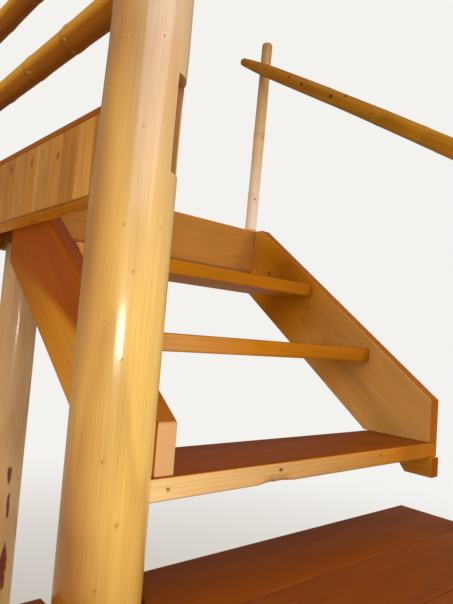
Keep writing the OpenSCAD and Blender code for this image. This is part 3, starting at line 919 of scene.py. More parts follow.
@dataclass
class Board:
    """A sawn board: a rounded section carried along the grain between its end cuts.

    Along is the grain, face the side that shows, and across is face x along. Lows and highs are the
    end cuts, world planes by axis number, so a stringer may have an upright and a level cut at each
    end. Coats are of varnish on the face, the edges and the back. Run is what the edges' coats gain
    from start to end, face run what the face's do, and edge shade how dark the edges are. On the
    stringers the runs and the edge shade are painted light and shade; on the treads the run is partly
    painted light and partly a real gradient of the varnish.
    """

    along: Triple
    face: Triple
    across: Pair
    through: Pair
    lows: dict[int, float]
    highs: dict[int, float]
    ease: float = 4.0
    end_ease: float = 1.5
    steps: int = 3
    pitch: float = 12.0
    edge_pitch: float = 8.0
    knots: tuple[Knot, ...] = ()
    knot_stretch: float = 1.5
    wild_knots: int = 3
    wild_size: Pair = (5.0, 9.0)
    wild_margins: Pair = (60.0, 15.0)
    torn: Optional[TornArris] = None
    pith: Pair = (20.0, -70.0)
    coats_face: float = 0.0
    coats_edge: float = 0.0
    coats_back: float = 0.0
    run: Pair = (0.0, 0.0)
    edge_shade: Pair = (0.0, 0.0)
    face_run: tuple[float, ...] = (0.0, 0.0)
    face_tone: Optional[Callable[[np.ndarray, np.ndarray], np.ndarray]] = None
    bare_ends: float = 0.8
    joint_shade: float = 0.0
    warp: float = 0.25
    seed: int = 1
    start_scribe: Optional[Callable[[np.ndarray], np.ndarray]] = None
    end_scribe: Optional[Callable[[np.ndarray], np.ndarray]] = None

    @staticmethod
    def in_box(low: np.ndarray, high: np.ndarray, along: Triple, face: Triple, **options: Any) -> "Board":
        """Make a board that fills a box.

        Args:
            low: the box's lowest corner in mm.
            high: its highest corner.
            along: direction of the grain.
            face: the side that shows.
            options: any other field of the board.

        Returns:
            The board.
        """
        across = np.cross(face, along)
        t = sorted((float(low @ across), float(high @ across)))
        w = sorted((float(low @ np.array(face)), float(high @ np.array(face))))
        axis = int(np.argmax(np.abs(along)))
        return Board(along, face, (t[0], t[1]), (w[0], w[1]), {axis: float(low[axis])},
                     {axis: float(high[axis])}, **options)

    @staticmethod
    def in_node(node: str, along: Triple, face: Triple, **options: Any) -> "Board":
        """Make a board that fills its CAD node's box, as in_box does."""
        return Board.in_box(*node_box(node), along, face, **options)

    def section(self, kinks: list[float]) -> tuple[np.ndarray, np.ndarray]:
        """Points round the board's rounded section, from the middle of one edge and back to it.

        The lower half goes (across 0, middle), corner, back face, corner, (across 1, middle), and the
        upper half is its mirror image.

        Args:
            kinks: places across the board where an end cut changes direction.

        Returns:
            The points' coordinates across and through.
        """
        (t0, t1), (w0, w1) = self.across, self.through
        e, middle = self.ease, (w0 + w1) / 2
        turn = np.linspace(0, TURN / 4, self.steps + 1)
        side_count = max(2, int((w1 - w0) / 2 / min(self.pitch, self.edge_pitch)) + 1)
        side = np.linspace(middle, w0 + e, side_count)[:-1]
        wide = np.linspace(t0 + e, t1 - e, max(2, int((t1 - t0) / self.pitch) + 1))[1:-1]
        wide = np.unique(np.concatenate([wide, [k for k in kinks if t0 + e < k < t1 - e]]))
        t = np.concatenate([np.full(len(side), t0), t0 + e * (1 - np.cos(turn)), wide,
                            t1 - e * (1 - np.sin(turn)), np.full(len(side), t1)])
        w = np.concatenate([side, w0 + e * (1 - np.sin(turn)), np.full(len(wide), w0),
                            w0 + e * (1 - np.cos(turn)), side[::-1]])
        return np.concatenate([t, t[-2:0:-1]]), np.concatenate([w, w0 + w1 - w[-2:0:-1]])

    def cut(self, planes: dict[int, float], t: np.ndarray, lowest: bool) -> np.ndarray:
        """Where a board's end cuts lie along it: s = (value - t * across[axis]) / along[axis].

        Args:
            planes: world coordinate of each cut, by axis number.
            t: places across the board.
            lowest: True at the board's start, where the latest cut holds, False at its end.

        Returns:
            The distance along the board for each place.
        """
        across = np.cross(self.face, self.along)
        lines = [(value - t * across[axis]) / self.along[axis] for axis, value in planes.items()]
        return np.max(lines, axis=0) if lowest else np.min(lines, axis=0)

    def kinks(self) -> list[float]:
        """Places across the board where two cuts of one end meet.

        Returns:
            The places, none or one an end.
        """
        across, found = np.cross(self.face, self.along), []
        for planes in (self.lows, self.highs):
            if len(planes) == 2:
                (a, va), (b, vb) = planes.items()
                (ta, sa), (tb, sb) = (across[a], self.along[a]), (across[b], self.along[b])
                found.append(float((va / sa - vb / sb) / (ta / sa - tb / sb)))
        return found

    def knot_marks(self, rng: np.random.Generator, s: np.ndarray, t: np.ndarray,
                   w: np.ndarray) -> np.ndarray:
        """How strongly the board's own and wild knots mark each point.

        A knot on the face goes right through the board, so its place through it is left out. One on
        an arris or an edge keeps all three of its coordinates.

        Args:
            rng: the board's random numbers.
            s: the points' places along the board.
            t: their places across it.
            w: their places through it.

        Returns:
            The marks, from 0 to 1.
        """
        (t0, t1), middle = self.across, sum(self.through) / 2
        end, side = self.wild_margins
        knots = list(self.knots)
        for _ in range(self.wild_knots):
            place = (rng.uniform(s.min() + end, s.max() - end), rng.uniform(t0 + side, t1 - side), middle)
            knots.append(Knot(place, rng.uniform(*self.wild_size)))
        on_edge = [k for k in knots if min(abs(k.place[1] - t0), abs(k.place[1] - t1)) <= 1]
        right_through = [Knot((*k.place[:2], 0.0), k.radius) for k in knots if k not in on_edge]
        mark, _ = knot_field(right_through, s, t, np.zeros(s.shape), self.knot_stretch)
        return np.maximum(mark, knot_field(on_edge, s, t, w, self.knot_stretch)[0])

    def dressing(self, share: np.ndarray, s: np.ndarray, t: np.ndarray,
                 w: np.ndarray) -> tuple[np.ndarray, np.ndarray, np.ndarray]:
        """Coats, fresh cut and shade of each point.

        Args:
            share: the points' share of the way along the board.
            s: their places along the board.
            t: their places across it.
            w: their places through it.

        Returns:
            The coats, the cut and the shade.
        """
        (t0, t1), (w0, w1) = self.across, self.through
        arris, fade = self.ease * 0.7, self.ease * 0.5
        on_face = np.clip((w - (w1 - arris)) / fade, 0, 1)
        on_back = np.clip(((w0 + arris) - w) / fade, 0, 1)
        on_edge = self.coats_edge + between(self.run, share)
        face = self.coats_face + np.interp(share, np.linspace(0, 1, len(self.face_run)), self.face_run)
        if self.face_tone is not None:
            face = face + self.face_tone(s, t)
        coats = on_edge + (face - on_edge) * on_face + (self.coats_back - on_edge) * on_back
        coats[0], coats[-1] = on_edge[0], on_edge[-1]
        shade = self.joint_shade * np.clip(1 - np.minimum(t - t0, t1 - t) / self.ease, 0, 1)
        # Edge shade: painted shade on the edges
        shade = shade + between(self.edge_shade, share) * (1 - on_face) * (1 - on_back)
        bare = np.zeros(s.shape)
        bare[0] = bare[-1] = self.bare_ends
        return np.clip(coats, 0, 1), bare, shade

    def surface(self) -> Surface:
        """Work out the board.

        Each ring is the section at an even share of the way between the two end cuts, which gives
        slanted and kinked ends without a cap of their own shape. The first and last rings are drawn
        in to ease the end arrises. A torn arris is pushed in by its depth, less towards its ends, with
        a ragged wave of sin(s) sin(s). A slow wave of (1 + sin(s) cos(t)) / 2 draws the two wide
        faces in by the warp.

        Returns:
            The surface.
        """
        rng = np.random.default_rng(self.seed + 900)
        axis, face = np.array(self.along), np.array(self.face)
        (t0, t1), (w0, w1) = self.across, self.through
        t, w = self.section(self.kinks())
        start, end = self.cut(self.lows, t, True), self.cut(self.highs, t, False)
        if self.start_scribe is not None:
            start = np.maximum(start, self.start_scribe(t))
        if self.end_scribe is not None:
            end = np.minimum(end, self.end_scribe(t))
        length = float((end - start).max())
        share = np.linspace(0, 1, max(4, int(length / self.pitch)))
        edge = self.end_ease / length
        share = np.concatenate([[0.0, edge], share[1:-1], [1 - edge, 1.0]])[:, None]
        ss = start + (end - start) * share
        tt, ww = np.broadcast_to(t, ss.shape).copy(), np.broadcast_to(w, ss.shape).copy()
        middle_t, middle_w = (t0 + t1) / 2, (w0 + w1) / 2
        for row in (0, -1):
            tt[row] = middle_t + (tt[row] - middle_t) * (1 - 2 * self.end_ease / (t1 - t0))
            ww[row] = middle_w + (ww[row] - middle_w) * (1 - 2 * self.end_ease / (w1 - w0))
        p = rng.uniform(0, TURN, 4)
        pith_t, pith_w = middle_t + self.pith[0], w0 + self.pith[1]
        grain = np.stack([ss + BOARD_SHIFT * self.seed, tt - pith_t, ww - pith_w], -1)
        mark = self.knot_marks(rng, ss, tt, ww)
        coats, bare, shade = self.dressing(share, ss, tt, ww)
        if self.torn is not None:
            reach = np.clip(1 - (np.abs(tt - t0) + np.abs(ww - w0)) / (3.2 * self.torn.depth), 0, 1)
            middle, half = (self.torn.low + self.torn.high) / 2, (self.torn.high - self.torn.low) / 2
            stretch = np.clip(1 - ((ss - middle) / half) ** 2, 0, 1)
            ragged = 0.75 + 0.25 * np.sin(ss / 5.3 + p[0]) * np.sin(ss / 13.7 + p[1])
            push = reach * stretch * ragged
            tt, ww = tt + self.torn.depth * push, ww + 0.6 * self.torn.depth * push
            shade = np.maximum(shade, push * 0.5)
        wave = (1 + np.sin(ss / 190.0 + p[2]) * np.cos((tt - t0) / 55.0 + p[3])) / 2
        ww = ww + self.warp * np.sign(middle_w - ww) * wave * share * (1 - share) * 4
        points = ss[..., None] * axis + tt[..., None] * np.cross(face, axis) + ww[..., None] * face
        rows, columns = ss.shape
        faces = tube_faces(rows, columns) + self.ladder(columns, 0, True) \
            + self.ladder(columns, (rows - 1) * columns, False)
        return Surface.of_grid(points, faces, grain, mark, np.stack([coats, bare, shade], -1))

    @staticmethod
    def ladder(columns: int, offset: int, reverse: bool) -> list[list[int]]:
        """Close an end with rungs from each point of the ring to its mirror image.

        Args:
            columns: points in the ring.
            offset: number of the ring's first point.
            reverse: True at the start, whose faces turn the other way.

        Returns:
            The faces.
        """
        half = columns // 2
        j = np.arange(1, half - 1)
        middle = np.stack([j, j + 1, columns - j - 1, columns - j], -1).tolist()
        faces = [[0, 1, columns - 1]] + middle + [[half - 1, half, half + 1]]
        return [[corner + offset for corner in (face[::-1] if reverse else face)] for face in faces]


@dataclass
class ScribedPlank:
    """The platform plank that is cut out round the newel: an outline with rounded arrises."""

    low: np.ndarray
    high: np.ndarray
    cut_radius: float
    ease: float = 4.0
    coats_face: float = 1.0
    coats_below: float = 0.4
    pith: Pair = (30.0, -60.0)
    seed: int = 1

    def outline(self) -> np.ndarray:
        """The plank's outline, anticlockwise: a rectangle with a round-bottomed slot for the newel.

        Returns:
            The outline's points.
        """
        (x0, y0), (x1, y1) = self.low[:2], self.high[:2]
        r = self.cut_radius
        turn = np.linspace(0, -math.pi, 49)
        slot = np.stack([r * np.cos(turn), r * np.sin(turn)], -1)
        near = np.stack([np.linspace(x0, x1, 80), np.full(80, y0)], -1)
        right = np.stack([np.full(10, x1), np.linspace(y0, y1, 12)[1:-1]], -1)
        far_right = np.stack([np.linspace(x1, r, 70), np.full(70, y1)], -1)
        far_left = np.stack([np.linspace(-r, x0, 8), np.full(8, y1)], -1)
        left = np.stack([np.full(10, x0), np.linspace(y1, y0, 12)[1:-1]], -1)
        return np.concatenate([near, right, far_right, slot, far_left, left])

    def surface(self) -> Surface:
        """Work out the plank.

        Ring k of the outline is drawn in by e (1 - sin a) at a depth of e (1 - cos a) for a quarter
        turn of a at the underside, and the same at the top. Each point is drawn in along the sum of
        its two edge normals over 1 plus their product, which keeps the edges parallel.

        Returns:
            The surface.
        """
        line = self.outline()
        before, after = line - np.roll(line, 1, 0), np.roll(line, -1, 0) - line
        n1, n2 = (np.stack([-edge[:, 1], edge[:, 0]], -1) / np.linalg.norm(edge, axis=1)[:, None]
                  for edge in (before, after))
        inward = (n1 + n2) / (1 + (n1 * n2).sum(1))[:, None]
        turn = np.linspace(0, TURN / 4, 4)
        z0, z1 = self.low[2], self.high[2]
        draw, rise = self.ease * (1 - np.sin(turn)), self.ease * (1 - np.cos(turn))
        z = np.concatenate([z0 + rise, z1 - rise[::-1]])
        flat = line[None] + inward[None] * np.concatenate([draw, draw[::-1]])[:, None, None]
        points = np.concatenate([flat, np.broadcast_to(z[:, None, None], (*flat.shape[:2], 1))], -1)
        pith = np.array([-BOARD_SHIFT * self.seed, (self.low[1] + self.high[1]) / 2 + self.pith[0],
                         z0 + self.pith[1]])
        top = np.clip((points[..., 2] - (z1 - self.ease * 0.7)) / (self.ease * 0.5), 0, 1)
        coats = self.coats_face * top + self.coats_below * (1 - top)
        bare = np.zeros(top.shape)
        return Surface.of_grid(points, capped_faces(*top.shape), points - pith, bare,
                               np.stack([coats, bare, bare], -1))


# Putting pieces in the scene


def node_box(node: str) -> tuple[np.ndarray, np.ndarray]:
    """A CAD node's lowest and highest corner in mm."""
    low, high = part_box(node)
    return np.array(low) / MM, np.array(high) / MM


@dataclass
class Fitter:
    """Puts finished surfaces into the scene and keeps count of them."""

    shop: WoodShop = field(default_factory=WoodShop)
    triangles: int = 0
    smooth_below: float = 38.0

    def fit(self, node: str, surface: Surface, finish: Finish, kind: str = "piece") -> None:
        """Make a piece of a surface, dress it and let it stand for its CAD node.

        Args:
            node: the CAD node that it replaces.
            surface: its surface in mm.
            finish: its wood finish.
            kind: what it is, the last word of its name.
        """
        name = f"{node}_{kind}"
        mesh = bpy.data.meshes.new(name)
        mesh.from_pydata(np.clip(surface.points * MM, *CAD_BOX).tolist(), [], surface.faces)
        for attribute, data, reads, values in (
                ("grain", "FLOAT_VECTOR", "vector", surface.grain * MM),
                ("knot", "FLOAT", "value", surface.knot),
                ("dress", "FLOAT_VECTOR", "vector", surface.dress)):
            mesh.attributes.new(attribute, data, "POINT").data.foreach_set(
                reads, values.astype(np.float32).ravel())
        mesh.polygons.foreach_set("use_smooth", np.ones(len(mesh.polygons), dtype=bool))
        mesh.set_sharp_from_angle(angle=math.radians(self.smooth_below))
        mesh.update()
        mesh.materials.append(self.shop.material(finish))
        piece = bpy.data.objects.new(name, mesh)
        bpy.context.scene.collection.objects.link(piece)
        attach(piece, BODY)
        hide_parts(node)
        count = sum(len(face) - 2 for face in surface.faces)
        self.triangles += count
        LOG.info("%s: %s, %d triangles", name, finish.value.timber, count)

    def fit_framing(self, boards: tuple[tuple[str, Triple, Triple], ...], seed: int) -> None:
        """Fit the sawn boards on edge that carry a floor.

        Args:
            boards: CAD node, direction of the grain and side that shows, of each.
            seed: seed of the first board; the others count up from it.
        """
        for n, (node, along, face) in enumerate(boards):
            board = Board.in_node(node, along, face, seed=seed + n, ease=2.0, wild_knots=4,
                                  pith=(15.0, -40.0))
            self.fit(node, board.surface(), Finish.SAWN_SPRUCE_FRAMING)


# Sub-assemblies


@dataclass
class SubAssembly:
    """A part of the stair and the fitter that puts its pieces in the scene."""

    fitter: Fitter


@dataclass
class LogPosts(SubAssembly):
    """The newel, the log at the guard's end, the platform's corner post and the support log.

    Housing and seat are how far a housing's bottom and a flat seat are from a log's centre.
    """

    housing: float = 56.0
    seat: float = 83.0
    edge_beam_seat: float = 18.0
    clearance: float = 0.3
    newel_knots: tuple[Triple, ...] = (
        (-100.8, 2200, 3.6), (-118.1, 2009, 3.2), (-153, 2189, 2.8), (-132.3, 1810, 2.6),
        (-80, 1816, 2.8), (-115.7, 1719, 3), (-146, 1622, 2.6), (-119.9, 1551, 3.4),
        (-133.2, 1356, 3.4), (-108, 1238, 3.4), (-128, 1120, 3))
    bark: Table = ((-90.0, 947.0, 7.0, 44.0), (-85.0, 812.0, 5.5, 62.0), (-83.0, 548.0, 13.0, 110.0),
                   (-40.0, 700.0, 4.0, 60.0), (60.0, 1100.0, 4.0, 45.0))

    def cut_for(self, node: str, clearance: float, *planes: Triple) -> FlatCut:
        """A cut over the height of the CAD node that it takes, with a clearance above it."""
        low, high = node_box(node)
        return FlatCut(float(low[2]), float(high[2]) + clearance, planes)

    def newel_cuts(self) -> tuple[FlatCut, ...]:
        """The newel's seats and housings, and the old housing that holds nothing.

        Returns:
            The cuts.
        """
        gap = self.clearance
        left_stringer = FlatCut(1305.0, 1471.0, ((1, 0, self.seat),))
        header = self.cut_for("platform_header", 0.0, (-1, 0, self.seat))
        tread_1 = self.cut_for("tread_1", gap, (1, 0, self.housing), (0, 1, -44.3))
        far_bearer = self.cut_for("platform_far_bearer", gap, (1, 0, self.housing), (0, 1, 28))
        edge_beam = self.cut_for("gallery_edge_beam", gap, (1, 0, self.edge_beam_seat),
                                 (0, 1, self.housing))
        old_housing = FlatCut(1934.0, 2143.0, ((1, 0, 31), (0, -1, 30)), True)
        return left_stringer, header, tread_1, far_bearer, edge_beam, old_housing

    def newel(self) -> PeeledLog:
        """The newel log, painted darker on its left side as shade and paler towards its top as painted
        light.

        Returns:
            The log.
        """
        return PeeledLog(
            "newel_log", (0.0, 0.0),
            radii=((0, 88.5), (1300, 88.0), (1850, 87.8), (2000, 85.2), (2100, 84.4), (2300, 84.6),
                   (3200, 83.6)),
            bow=((0, 0), (900, -5), (1300, -6.2), (1850, -6.4), (2000, -3.3), (2100, -1.0), (2200, 1.9),
                 (2350, 2.4), (3200, 0)),
            bow_side=(0.755, -0.656),
            # Fewer coats up the log make it paler towards the top: painted light for the broad highlight
            # there
            coats=((0, 0.75), (1080, 0.68), (1180, 0.58), (1260, 0.5), (1600, 0.47), (1700, 0.4),
                   (1850, 0.3), (1950, 0.22), (2100, 0.08), (2300, 0.0), (3200, 0.0)),
            # Painted shade on the left side, away from the light: extra coats and shade by height
            shaded_side_turn=170.0,
            painted_side_shade=((0, 0.5, 0.35), (1200, 0.5, 0.35), (1320, 0.36, 0.3), (1450, 0.25, 0.28),
                       (1620, 0.34, 0.34), (1720, 0.44, 0.42), (1850, 0.5, 0.44), (2100, 0.5, 0.54),
                       (2250, 0.5, 0.75), (3200, 0.5, 0.75)),
            cuts=self.newel_cuts(), knots=self.newel_knots, wild_zone=(20.0, 150.0), wild_knots=12,
            fine=(1040.0, 2330.0, -172.0, -15.0), seed=3)

    def build(self) -> None:
        """Build the four logs."""
        end_log = PeeledLog(
            "end_newel_log", (0.0, 1800.0), radii=((0, 86.0), (3200, 84.0)),
            coats=((0, 0.6), (1900, 0.5), (3200, 0.2)),
            cuts=(self.cut_for("gallery_edge_beam", self.clearance, (1, 0, self.edge_beam_seat),
                               (0, -1, self.housing)),
                  self.cut_for("landing_back_beam", 0.0, (1, 0, self.seat))), wild_knots=22, seed=5)
        post = PeeledLog(
            "platform_post", (0.0, -1108.0), radii=((0, 86.0), (1010, 85.5)),
            coats=((0, 0.6), (1010, 0.6)),
            cuts=(self.cut_for("platform_header", 2.0, (-1, 0, self.seat)),
                  self.cut_for("platform_near_bearer", 2.0, (0, -1, self.seat))),
            wild_knots=9, seed=7, top_ease=1.0)
        support = PeeledLog(
            "gallery_support_log", (342.0, 1500.0), radii=((0, 82.0), (1955, 80.5)),
            coats=((0, 0.3), (1955, 0.05)), soil=0.2, bark=self.bark, wild_knots=16,
            fine=(420.0, 1955.0, -150.0, -40.0), seed=11, top_ease=1.0)
        for log in (self.newel(), end_log, post, support):
            self.fitter.fit(log.node, log.surface(), Finish.PEELED_SPRUCE_LOG)


@dataclass
class Platform(SubAssembly):
    """The platform's planks and the boards on edge that carry them."""

    planks: int = 6
    scribe: float = 89.0
    framing: tuple[tuple[str, Triple, Triple], ...] = (
        ("platform_header", AHEAD, LEFT), ("platform_wall_ledger", AHEAD, RIGHT),
        ("platform_far_bearer", RIGHT, AHEAD), ("platform_near_bearer", RIGHT, BACK),
        ("platform_mid_joist", AHEAD, RIGHT))

    def build(self) -> None:
        """Build the planks and the frame."""
        first = ScribedPlank(*node_box("platform_plank_1"), self.scribe, seed=2)
        self.fitter.fit("platform_plank_1", first.surface(), Finish.PLANED_LARCH_DECK)
        for i in range(2, self.planks + 1):
            node = f"platform_plank_{i}"
            board = Board.in_node(node, RIGHT, UP, seed=10 + i, coats_face=1.0, coats_edge=0.5,
                                  coats_back=0.2, wild_knots=2, pith=(25.0 * (-1) ** i, -60.0))
            self.fitter.fit(node, board.surface(), Finish.PLANED_LARCH_DECK)
        self.fitter.fit_framing(self.framing, seed=20)


@dataclass
class Flights(SubAssembly):
    """Treads, stringers and the cleat of both flights.

    The toe is how high a stringer's upper edge passes over its flight's foot. The upper flight's left
    stringer has one of its own. The slant is how far the cleat's end is cut back at its underside.
    """

    upper_slope: float = 0.7585
    lower_slope: float = 265.0 / 300.0
    depth: float = 274.0
    toe: float = 143.3
    left_toe: float = 105.3
    left_face: float = 132.5
    cleat_slant: float = 56.0
    # Each upper tread's run darkens its edges towards the right end: partly a real gradient of the
    # varnish, partly painted light that fades away from the left end
    tread_options: tuple[tuple[str, dict[str, Any]], ...] = (
        ("tread_1", {"knots": (Knot((460.0, -44.0, 1286.0), 6.0), Knot((114.0, -44.0, 1278.0), 5.0),
                               Knot((905.0, -44.0, 1287.0), 4.0)),
                     "torn": TornArris(385.0, 512.0, 7.0), "pitch": 7.0, "wild_knots": 2,
                     "run": (0.0, 0.62)}),
        ("tread_2", {"pitch": 8.0, "pith": (-40.0, -45.0), "run": (0.3, 0.74)}),
        ("tread_3", {"pitch": 8.0, "pith": (60.0, -50.0), "wild_knots": 1, "run": (0.4, 0.74)}),
        ("lower_tread_1", {}), ("lower_tread_2", {}), ("lower_tread_3", {}))

    def stringer(self, node: str, face: Triple, slope: float, foot: np.ndarray, toe: float,
                 **options: Any) -> None:
        """Fit a stringer: a board up its slope, cut level and upright on the sides of its node's box.

        Args:
            node: its CAD node.
            face: the side that shows.
            slope: rise over going.
            foot: the lowest corner of its flight.
            toe: how high the line of its upper edge passes over the foot.
            options: any other field of the board.
        """
        low, high = node_box(node)
        angle, level = math.atan(slope), 1 if face[0] else 0
        along = (0.0 if level else math.cos(angle), math.cos(angle) if level else 0.0, math.sin(angle))
        across = np.cross(face, along)
        edge = (foot[2] + toe - slope * foot[level]) * across[2]
        band = (edge - self.depth, edge) if across[2] > 0 else (edge, edge + self.depth)
        board = Board(along, face, band, tuple(sorted((float(low @ face), float(high @ face)))),
                      {level: low[level], 2: low[2]}, {level: high[level], 2: high[2]}, **options)
        self.fitter.fit(node, board.surface(), Finish.PLANED_LARCH_STRINGER)

    def painted_light_below(self, s: np.ndarray, t: np.ndarray) -> np.ndarray:
        """Painted light: fewer coats on the left stringer's face below the line z = 1596 + 0.445 (y -
        387).

        Args:
            s: distance along the slope.
            t: distance across it.

        Returns:
            What is added to the coats, from 0 to -0.62.
        """
        angle = math.atan(self.upper_slope)
        y = s * math.cos(angle) + t * math.sin(angle) - 387.0
        z = s * math.sin(angle) - t * math.cos(angle) - 1596.0
        return -np.clip(0.57 - 0.001 * y, 0, 0.62) * np.clip((0.445 * y - z) / 35.0 + 0.5, 0, 1)

    def build(self) -> None:
        """Build treads, stringers and cleat."""
        self.treads()
        foot = node_box("upper_stringer_right")[0]
        # Left stringer: the dark face is painted shadow, lighter below a slanting line as painted light,
        # and the top edge painted dark as shade
        self.stringer("upper_stringer_left", LEFT, self.upper_slope, foot, self.left_toe, seed=31,
                      wild_knots=4, coats_face=0.95, coats_edge=0.7, coats_back=0.6, run=(0.0, 0.4),
                      edge_shade=(0.38, 0.25), face_tone=self.painted_light_below, bare_ends=1.0)
        # Right stringer: the face run paints it lighter at the foot as painted light and darker under
        # tread 3 as painted shadow, the edge shade its top edge as shade
        self.stringer("upper_stringer_right", LEFT, self.upper_slope, foot, self.toe, seed=33,
                      wild_knots=2, coats_edge=0.7, coats_back=0.5,
                      face_run=(0.0, 0.1, 0.3, 0.75, 0.3), edge_shade=(0.3, 0.45), bare_ends=0.0)
        for n, node in enumerate(("lower_stringer_inner", "lower_stringer_outer")):
            self.stringer(node, BACK, self.lower_slope, node_box(node)[0], self.toe, seed=35 + n,
                          coats_face=0.6, coats_edge=0.4, coats_back=0.6, bare_ends=0.3)
        low, high = node_box("tread_1_wall_cleat")
        cleat = Board.in_box(low, high, AHEAD, LEFT, seed=41, wild_knots=0, bare_ends=1.0, ease=3.0,
                             pitch=6.0, end_scribe=lambda t: np.interp(
                                 -t, (low[2], high[2]), (high[1] - self.cleat_slant, high[1])))
        self.fitter.fit("tread_1_wall_cleat", cleat.surface(), Finish.PLANED_LARCH_CLEAT)

    def treads(self) -> None:
        """Build the six treads: golden edges, darker tops, and tread 1's torn lower arris."""
        for n, (node, special) in enumerate(self.tread_options):
            low, high = node_box(node)
            if node == "tread_3":
                low[0] = self.left_face
            along = AHEAD if node.startswith("lower") else RIGHT
            board = Board.in_box(low, high, along, UP, seed=50 + n, coats_face=1.0, coats_back=0.5,
                                 **special)
            self.fitter.fit(node, board.surface(), Finish.PLANED_LARCH_TREAD)


@dataclass
class Landing(SubAssembly):
    """Header, joists, beam and tongue-and-groove floor of the upper landing, and the gallery's edge."""

    floor_pitch: float = 88.0
    least_board: float = 20.0
    joint_gap: float = 0.3
    lining_joints: tuple[float, ...] = (84.5, 131.0, 219.0, 309.0, 397.0, 485.0, 571.0, 652.0, 737.0,
                                        822.0, 909.0, 997.0, 1085.0, 1173.0, 1261.0, 1349.0, 1437.0,
                                        1525.0, 1613.0, 1714.5)
    lining_knots: tuple[tuple[int, Triple, float], ...] = (
        (4, (2059.0, 420.0, 0.0), 10.0), (5, (2090.0, 530.0, 0.0), 6.0),
        (6, (2078.0, 603.0, 0.0), 11.0), (8, (2085.0, 769.0, 0.0), 12.0))
    lining_back: float = 18.3
    end_log: Pair = (0.0, 1800.0)
    log_radius: float = 87.3
    strip_low: float = 43.0
    framing: tuple[tuple[str, Triple, Triple], ...] = (
        ("landing_joist_left", AHEAD, RIGHT), ("landing_joist_right", AHEAD, RIGHT),
        ("landing_wall_joist", AHEAD, RIGHT), ("landing_back_beam", RIGHT, AHEAD),
        ("gallery_edge_beam", AHEAD, RIGHT))

    def floor_start(self, t: np.ndarray) -> np.ndarray:
        """Where a floor board starts: on the end log's surface, x = sqrt(r * r - (y - centre)^2)."""
        return np.sqrt(np.maximum(self.log_radius ** 2 - (t - self.end_log[1]) ** 2, 0.0))

    def strip_start(self, t: np.ndarray) -> np.ndarray:
        """Where a strip along the gallery starts: on the newel, y = sqrt(r * r - x * x)."""
        return np.sqrt(np.maximum(self.log_radius ** 2 - t ** 2, self.strip_low ** 2))

    def strip_end(self, t: np.ndarray) -> np.ndarray:
        """Where it ends: on the end log's surface."""
        return self.end_log[1] - self.strip_start(t)

    def build(self) -> None:
        """Build the landing and the gallery's edge."""
        header = Board.in_node("landing_header", RIGHT, BACK, seed=61, wild_knots=1, ease=3.0,
                               pith=(30.0, -60.0))
        self.fitter.fit("landing_header", header.surface(), Finish.PLANED_SPRUCE_HEADER)
        self.fitter.fit_framing(self.framing, seed=70)
        self.floor()
        self.lining()
        for node, finish, face in (("gallery_soffit", Finish.PLANED_LARCH_SOFFIT, DOWN),
                                   ("gallery_cap", Finish.GROOVED_SPRUCE_FLOOR, UP)):
            low, high = node_box(node)
            if node == "gallery_soffit":
                low[0] = self.lining_back
            board = Board.in_box(low, high, AHEAD, face, seed=80, ease=2.0, wild_knots=4, pitch=10.0,
                                 pith=(10.0, -50.0), start_scribe=self.strip_start,
                                 end_scribe=self.strip_end)
            self.fitter.fit(node, board.surface(), finish)

    def floor(self) -> None:
        """Lay the floor boards from left to right, their joints eased to a V."""
        low, high = node_box("landing_floor")
        joints = [*np.arange(low[1], high[1] - self.least_board, self.floor_pitch), float(high[1])]
        parts = []
        for n, (near, far) in enumerate(zip(joints[:-1], joints[1:])):
            low[1], high[1] = near + (self.joint_gap if n else 0.0), far - self.joint_gap
            board = Board.in_box(low, high, RIGHT, UP, seed=100 + n, ease=2.5, steps=1, pitch=22.0,
                                 wild_knots=2, joint_shade=0.6, start_scribe=self.floor_start,
                                 pith=(18.0 * (-1) ** n, -35.0))
            parts.append(board.surface())
        self.fitter.fit("landing_floor", Surface.joined(parts), Finish.GROOVED_SPRUCE_FLOOR, "boards")

    def lining(self) -> None:
        """Set the lining boards upright on the gallery's edge, with V joints, over the soffit's edge.

        The coats of board n are spread by the fraction of 0.618 n, so that no two neighbours match.
        """
        low, high = node_box("gallery_cladding")
        low[2] = node_box("gallery_soffit")[0][2]
        parts = []
        for n, (near, far) in enumerate(zip(self.lining_joints[:-1], self.lining_joints[1:])):
            low[1], high[1] = near + self.joint_gap, far - self.joint_gap
            board = Board.in_box(low, high, UP, LEFT, seed=130 + n, ease=1.6, steps=1, pitch=9.0,
                                 wild_knots=0, joint_shade=0.3, bare_ends=0.0,
                                 coats_face=0.15 + 0.55 * (n * 0.618 % 1),
                                 knots=tuple(Knot(place, radius) for board_n, place, radius
                                             in self.lining_knots if board_n == n),
                                 pith=(22.0 * (-1) ** n, -30.0 - 6.0 * (n % 3)))
            parts.append(board.surface())
        self.fitter.fit("gallery_cladding", Surface.joined(parts), Finish.GROOVED_SPRUCE_LINING, "boards")


